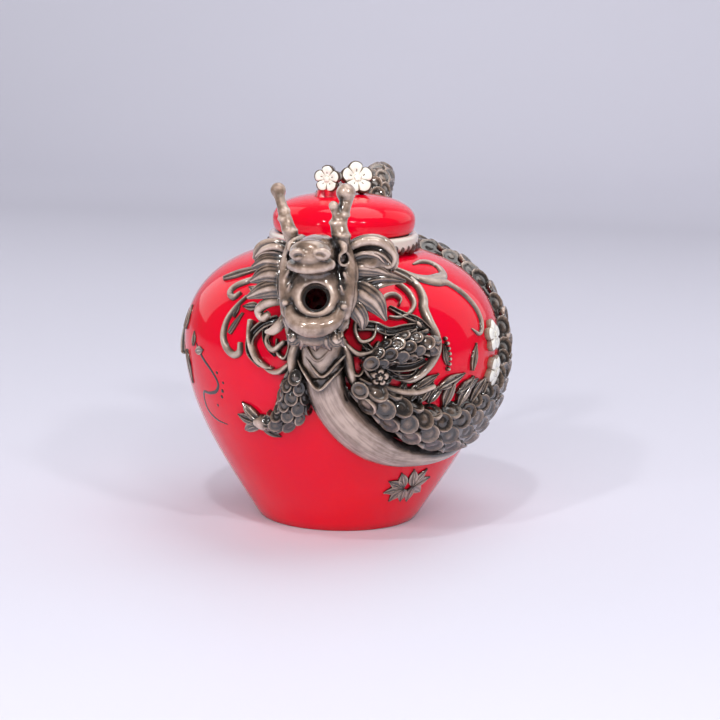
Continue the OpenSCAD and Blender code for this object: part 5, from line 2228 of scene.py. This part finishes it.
@dataclass
class Garden:
    """Vines, scrolls, leaves, blossoms and beads on the wall, and what is painted there."""

    vine: float = 1.5

    def leaf(self, chart: WallChart, a: float, s: float, angle: float, length: float, width: float, height: float,
        clear: float = 0.0) -> Form:
        """A veined leaf lying on the wall.

        Args:
            chart: The wall's chart.
            a: Azimuth of its root.
            s: Run of its root.
            angle: Its direction from +azimuth towards up, in degrees.
            length: Its length.
            width: Its width.
            height: Its height at the root.
            clear: The gap between the given place and its root.

        Returns:
            The leaf's mesh.
        """
        k = float(chart.per_degree(s))
        turn = radians(angle)
        rows = [
            (a + (clear + t * length) * cos(turn) / k, s + (clear + t * length) * sin(turn),
                max(0.7, width * sin(pi * t**0.8)), max(0.6, height * (1 - 0.5 * t)))
            for t in (0.0, 0.2, 0.4, 0.6, 0.8, 0.93, 1.0)
        ]
        return chart.band(rows, LEAF, 5)

    def blossom(self, chart: WallChart, a: float, s: float, cut: BlossomCut) -> Form:
        """A blossom lying on the wall."""
        k = float(chart.per_degree(s))
        return cut.form(lambda p: chart.points(a + p[:, 0] / k, s + p[:, 1], p[:, 2]))

    def build(self, shop: Workshop) -> None:
        """Lays out the garden.

        Args:
            shop: The workshop.
        """
        chart, lustre, silver = shop.chart, shop.lustre, Slot.SILVER
        h = self.vine
        upper = [
            chart.band(widened([(36, 142, 2, h), (41, 137.5, 2.6, h), (46, 133, 3.4, h), (53, 130.5, 4.6, h),
                (60, 130.5, 5, h), (66, 132, 3.6, h), (70, 137, 2.8, h), (69, 141.4, 2.4, h), (62, 143.4, 2, h),
                (55, 142.8, 1, 0.8)], 1.25)),
            chart.band([(62.6, 126, 3, h), (65.4, 122, 3.2, h), (68, 117, 3, h), (70, 111, 2.8, h),
                (70, 105, 2.6, h), (68, 101, 2.2, h), (65.5, 100.4, 1.8, h), (62.4, 103, 0.8, 0.8)]),
        ]
        upper.append(chart.band([(37, 139.6, 1.2, 1.2), (42.4, 134.4, 2.6, 1.6), (48.6, 130.8, 4.4, 1.7),
            (55, 128.6, 5.6, 1.7), (61, 127.4, 4.4, 1.6), (64.6, 123.4, 2.6, 1.4)]))
        shop.lustred("vine_high", gathered(upper), ["vine_upper"], shop.vine)
        h += 1.2
        main = [
            chart.band([(31, 140, 3.4, h), (34.6, 137.6, 4.4, h), (38.6, 134, 5, h), (41.6, 129.6, 5, h)], RIBBON,
                8),
            chart.band([(41, 131, 3.6, h), (42.5, 126, 3.4, h), (42, 120, 4.4, h), (40.4, 115, 4.8, h),
                (41, 109, 4.8, h), (42.6, 103, 4.6, h), (42.6, 97, 4.6, h), (40, 91.6, 4.4, h), (36, 87, 4.2, h),
                (31.4, 84.8, 4, h), (28, 86.2, 3.4, h), (26.8, 89.6, 2, h)]),
            chart.band([(33, 129, 1.8, h), (36, 124, 2.4, h), (36.6, 118, 2.6, h), (33.4, 113.4, 2.4, h),
                (28.6, 111.6, 2.2, h), (25, 112, 1.4, h)]),
            chart.band([(22.6, 118, 2.4, h), (25, 121.8, 2.6, h), (29, 122.8, 2.4, h), (31.2, 120.2, 1.8, h),
                (30, 117.4, 1.2, h)]),
        ]
        shop.lustred("vine_low", gathered(main), ["vine_main"], shop.vine)
        h = self.vine + 0.5
        scrolls = [
            chart.band([(-40, 135.5, 2.6, h), (-45, 132.5, 4.4, h), (-51, 128.5, 5.2, h), (-56.5, 124.6, 2.6, h)],
                LEAF, 8),
            chart.band([(-35, 129, 1.4, h), (-39.5, 126, 3.2, h), (-44, 122, 3, h), (-44.2, 118.4, 3.2, h),
                (-40.6, 116.8, 3.2, h), (-38, 119.4, 1.4, h)]),
            chart.band([(-33.6, 118, 1, h), (-36.4, 112.6, 2, h), (-38.6, 106, 2.8, h), (-38.6, 99, 3.4, h),
                (-36, 94, 3.6, h), (-32.4, 92, 3.6, h), (-30, 93.8, 3.4, h), (-30, 97.6, 2.4, h)]),
            chart.band([(-35.6, 101, 2.2, h), (-34.2, 104.6, 2.6, h), (-32, 110, 0.8, h)], LEAF, 8),
        ]
        shop.lustred("scrolls", gathered(scrolls), ["scrolls_left"], shop.vine)
        marks = Marks()
        for t in range(7):
            a, s = 46.6 + 1.2 * sin(radians(24 * t)), 101 - 2.2 * t
            out, _, up = chart.frame(a, s)
            marks.add(chart.points(a, s, 0.4), out, up, (2.1, 2.1, 3.6))
        shop.deliver(shop.stamps.press("beads", marks, bead_stamp(), lustre, spread=0.08, seed=5), lustre,
            ["bead_chain"])
        leaves = [self.leaf(chart, *row) for row in ((43, 80, 16, 17, 5.6, 3.4), (52.4, 76.6, 14, 16, 6, 3.2),
            (60, 85.4, 70, 12, 4.4, 2.4), (29, 78.6, -4, 19, 3.6, 4))]
        shop.lustred("leaves", gathered(leaves), ["leaves_right"])
        plums = [self.blossom(chart, 76.5, 97.4, BlossomCut(7.4, 3.0, 18, spots=False)),
            self.blossom(chart, 77.5, 81.4, BlossomCut(7.6, 3.2, 54, spots=False))]
        shop.deliver(make_object("plum_pair", gathered(plums)), shop.plum, ["plum_blossoms"])
        shop.lustred("small_blossom", self.blossom(chart, 19.8, 87.6, BlossomCut(4.4, 6.8, 10)), ["silver_blossom"])
        sprig = [self.leaf(chart, *row) for row in ((-58, 91, 100, 6.4, 4, 1.3), (-55.4, 89, 14, 6.8, 4.2, 1.4),
            (-66, 87, -80, 15, 5.6, 1.5), (-70, 96, 96, 11, 5, 1.5))]
        shop.lustred("sprig", gathered(sprig), ["sprig_left"])
        fan = [self.leaf(chart, 41.4, 27, t, 9, 5.2, 1.9, 0.6)
            for t in (112, 152, 195, 240, 284)] + [self.leaf(chart, 46.6, 27, t, 10, 5.4, 1.9, 0.4)
            for t in (104, 62, 18, -32, -78)]
        shop.lustred("leaf_fans", gathered(fan), ["leaf_cluster"])
        h = self.vine + 0.4
        branch = [
            chart.band([(-76, 84, 1.6, h), (-86, 90, 2.6, h), (-97, 98, 3, h), (-108, 103, 2.8, h),
                (-120, 111, 2.4, h), (-131, 122, 1.2, h)]),
            chart.band([(-98.6, 94, 2.2, h), (-104, 88, 2, h), (-112, 80, 1.6, h), (-117, 72, 0.8, h)]),
            *(self.leaf(chart, a, s, t, 9, 4.4, 1.6, 3.2)
                for a, s, t in ((-86, 90, 110), (-101, 99.6, 100), (-106.6, 85.4, 215), (-121, 112, 80),
                (-92, 94.4, -70))),
        ]
        shop.lustred("branch", gathered(branch), ["branch_back"])
        self.undergrowth(shop)
        self.paint(shop)

    def undergrowth(self, shop: Workshop) -> None:
        """Fills between the bigger reliefs with low ribbons, ribs and tucked leaves.

        Args:
            shop: The workshop.
        """
        chart = shop.chart
        right = [
            chart.band([(6, 104, 6, 5), (9, 97, 6.4, 6), (10.4, 90, 5.4, 6.4), (12, 84.6, 4.6, 6)], ROUND, 6),
            chart.band([(13, 108, 5, 4.4), (19, 107.6, 4.6, 4.2), (24, 105.4, 4.4, 3.6), (30, 106.6, 4, 3.2),
                (37, 107.4, 3, 2.6)], RIBBON, 6),
            chart.band([(15, 101, 3, 4.4), (19, 95.6, 4, 4.6), (24, 91.6, 4.6, 4.2), (31, 91, 4.4, 3.6),
                (36.6, 93, 3.2, 3)], RIBBON, 6),
            chart.band([(14.6, 92.6, 3.4, 4.6), (17, 87.6, 3.8, 5), (22, 82.8, 4.6, 4.6), (28, 80, 4.8, 4),
                (34.6, 79.4, 4.6, 3.4), (41, 81, 3.4, 2.8)], ROUND, 6),
            chart.band([(21.6, 91.4, 2.4, 3.6), (25.6, 87.2, 3.2, 4), (31, 86.6, 2.8, 3.4), (34.4, 89.2, 1.6, 2.6)],
                RIBBON, 6),
            chart.band([(9, 100, 3, 5.4), (13, 96.6, 3.4, 5.8), (17.6, 97.4, 3.2, 5.2), (20, 101.2, 2.2, 4)], ROUND,
                6),
            chart.band([(26, 116, 2, 2.6), (30.6, 112.4, 3, 3), (35.6, 109.6, 3.4, 3), (39.6, 105.4, 2.6, 2.6)],
                RIBBON, 6),
            *(self.leaf(chart, a, s, turn, long, wide, high) for a, s, turn, long, wide, high in (
                (27, 76.6, 64, 9, 4.6, 5), (31, 75.6, 58, 10, 5, 4.6), (35, 75, 50, 11, 5.2, 4.4),
                    (39, 74.4, 42, 11, 5, 4), (46.4, 71.6, 66, 14, 6.6, 3.6),
                (53.6, 70.8, 50, 15, 7.4, 3.6), (61, 70.8, 36, 15, 7.6, 3.4), (69, 72, 48, 12, 6, 3),
                    (46.4, 90, 96, 9, 3.4, 2.4), (33.6, 81.4, 22, 13, 4.2, 3.6),
                (10, 78.6, 118, 8, 3.8, 8.4), (20.6, 83.4, 40, 8, 3.8, 6.4))),
        ]
        shop.lustred("undergrowth_right", gathered(right))
        left = [
            chart.band([(-4.6, 104, 6, 5), (-7.6, 98, 6.4, 5.8), (-8.4, 92, 6.4, 6), (-7.2, 86.6, 6.4, 6.4)], ROUND,
                6),
            chart.band([(-16, 109, 4, 4), (-21, 106, 4.4, 4), (-24.6, 100.6, 4.4, 3.8), (-24.4, 94.4, 4, 3.4),
                (-20.4, 90, 3.4, 3)], RIBBON, 6),
            chart.band([(-12, 100, 3, 4.4), (-15.6, 96.6, 3.4, 4.6), (-18.4, 99.6, 3, 4), (-17.4, 104.6, 2.6, 3.6),
                (-14, 107.4, 2.2, 3.2)], ROUND, 6),
            chart.band([(-9.6, 91.4, 3, 5.4), (-13, 88, 3.6, 5), (-16.6, 87.4, 2.4, 3.4), (-19.6, 89, 1.2, 2)],
                ROUND, 6),
            *(self.leaf(chart, a, s, turn, long, wide, high) for a, s, turn, long, wide, high in (
                (-26, 121, 168, 11, 5, 2.4), (-25.4, 127.6, 160, 12, 5, 2.4), (-25.6, 114.4, 186, 9, 4.4, 2.4),
                    (-30.4, 131.4, 172, 10, 3.6, 2), (-35.4, 108, 96, 8, 2.8, 1.8))),
        ]
        shop.lustred("undergrowth_left", gathered(left))

    def paint(self, shop: Workshop) -> None:
        """The brushed tendril and its dots, a hair proud of the glaze.

        Args:
            shop: The workshop.
        """
        chart = shop.chart
        stroke = [(-56, 92, 1.2, 0.16), (-51, 87, 1.6, 0.16), (-45, 82, 1.3, 0.16), (-42, 77, 1.5, 0.16),
            (-44, 73, 1.6, 0.16), (-49, 71, 1.4, 0.16), (-54, 70, 1.3, 0.16), (-55, 62, 1.6, 0.16),
            (-50, 58, 1.2, 0.16), (-43, 57, 0.5, 0.16)]
        brushed = chart.band(stroke, sink=0.2)
        shop.deliver(make_object("brushed_tendril", brushed), shop.slip)
        marks = Marks()
        for a, s in ((-42, 82), (-39, 78), (-40, 74), (-41, 71), (-45, 66)):
            out, _, up = chart.frame(a, s)
            marks.add(chart.points(a, s, -0.1), out, up, (1.7, 1.7, 0.7))
        shop.deliver(shop.stamps.press("brushed_dots", marks, bead_stamp(), shop.slip, spread=0.15, seed=9),
            shop.slip)


# --- The studio ---


@dataclass(frozen=True)
class Softbox:
    """A soft light: its place, size and power in metres and watts, and whether glazes mirror it."""

    name: str
    at: Triple
    size: tuple[float, float]
    power: float
    aim: Triple = (0, 0, 0.08)
    mirrored: bool = True

    def hang(self) -> None:
        """Puts the light in the scene."""
        data = bpy.data.lights.new(self.name, "AREA")
        data.shape, data.size, data.size_y, data.energy = "RECTANGLE", self.size[0], self.size[1], self.power
        lamp = bpy.data.objects.new(self.name, data)
        lamp.location = self.at
        lamp.rotation_euler = (Vector(self.aim) - Vector(self.at)).to_track_quat("-Z", "Y").to_euler()
        lamp.visible_glossy = self.mirrored
        bpy.context.scene.collection.objects.link(lamp)


@dataclass
class StudioRoom:
    """A pale floor that curves up into a backdrop, soft lights and the camera."""

    azimuth: float = 7.0
    elevation: float = 11.0
    distance: float = 1.0
    aim_z: float = 0.07
    roll: float = 1.3
    shift_right: float = 0.0087
    shift_up: float = 0.0016
    lens: float = 108.5
    floor_reach: float = 3.2
    floor_back: float = 1.4
    curve: float = 0.9
    backdrop_top: float = 3.2
    columns: int = 9
    surround: tuple[float, ...] = (0.88, 0.88, 0.93, 1)
    surround_strength: float = 0.2
    lights: tuple[Softbox, ...] = (
        Softbox("top_soft", (0.25, 0.25, 1.3), (1.3, 0.8), 7.2),
        Softbox("left_soft", (-0.95, 0.7, 0.7), (0.8, 1.0), 2.2),
        Softbox("right_soft", (0.95, 0.75, 0.75), (1.0, 1.2), 2.8),
        Softbox("lid_card", (0.42, -1.0, 1.0), (0.16, 0.06), 1.3),
        Softbox("glint_high", (-0.12, -0.75, 1.35), (0.08, 0.08), 4.0),
        Softbox("glint_left", (-0.55, -1.0, 0.95), (0.08, 0.1), 4.0),
        Softbox("glint_right", (0.75, -0.85, 0.9), (0.08, 0.1), 4.0),
        Softbox("glint_low", (-0.75, -1.15, 0.42), (0.06, 0.06), 1.6),
        Softbox("fill", (0.1, -1.5, 0.75), (1.4, 1.0), 11.0, (0, 0, 0.08), False),
        Softbox("back_wash", (0, 1.0, 1.0), (2.4, 0.5), 13.0, (0, 2.6, 1.1), False),
    )

    def floor(self) -> None:
        """Lays the floor and backdrop as one sheet."""
        xs = np.linspace(-self.floor_reach, self.floor_reach, self.columns)
        back, bend = self.floor_back, np.linspace(0.1, pi / 2, 14)
        rows = [(-self.floor_reach, 0.0), (0.0, 0.0), (back, 0.0)]
        rows += [(back + self.curve * sin(t), self.curve * (1 - cos(t))) for t in bend]
        rows.append((back + self.curve, self.backdrop_top))
        verts = [(x, y, z) for y, z in rows for x in xs]
        faces = [face[::-1] for face in grid_faces(len(rows), self.columns, wrap=False)]
        mesh = bpy.data.meshes.new("sweep_paper")
        mesh.from_pydata(verts, [], faces)
        mesh.shade_smooth()
        sheet = bpy.data.objects.new("sweep_paper", mesh)
        bpy.context.scene.collection.objects.link(sheet)
        sheet.data.materials.append(BackdropPaint().build())

    def lamps(self) -> None:
        """Hangs the soft lights and sets the pale surround."""
        for softbox in self.lights:
            softbox.hang()
        world = bpy.data.worlds.new("pale_surround")
        world.use_nodes = True
        ground = world.node_tree.nodes["Background"]
        ground.inputs["Color"].default_value = self.surround
        ground.inputs["Strength"].default_value = self.surround_strength
        bpy.context.scene.world = world

    def camera(self) -> None:
        """Stands the camera at its place."""
        a, e = radians(self.azimuth), radians(self.elevation)
        back = Vector((sin(a) * cos(e), -cos(a) * cos(e), sin(e)))
        right = Vector((cos(a), sin(a), 0))
        up = back.cross(right)
        data = bpy.data.cameras.new("eye")
        data.lens, data.sensor_width = self.lens, 36.0
        camera = bpy.data.objects.new("eye", data)
        shift = right * self.shift_right + up * self.shift_up
        place = Vector((0, 0, self.aim_z)) + back * self.distance + shift
        t = radians(self.roll)
        x, y = right * cos(t) + up * sin(t), up * cos(t) - right * sin(t)
        matrix = Matrix((x, y, back)).transposed().to_4x4()
        matrix.translation = place
        camera.matrix_world = matrix
        bpy.context.scene.collection.objects.link(camera)
        bpy.context.scene.camera = camera

    def build(self) -> None:
        """Sets the room up."""
        self.camera()
        self.floor()
        self.lamps()
        bpy.context.scene.view_settings.view_transform = "Standard"


def main() -> None:
    """Builds the jar's looks round its frame."""
    logging.basicConfig(level=logging.INFO, format="%(name)s %(message)s")
    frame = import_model()
    StudioRoom().build()
    shop = Workshop.open()
    for maker in (JarShell(), Collar(), Lid(), Head(), Coil(), Tail(), Legs(), Garden()):
        LOG.info("making the %s", type(maker).__name__)
        maker.build(shop)
    # the spout tube gets the near-black finish, painted shade inside the mouth's hole
    tube = frame["nodes"]["spout_tube"]
    tube.data.materials.clear()
    tube.data.materials.append(shop.spout)
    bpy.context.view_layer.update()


if __name__ == "__main__":
    main()
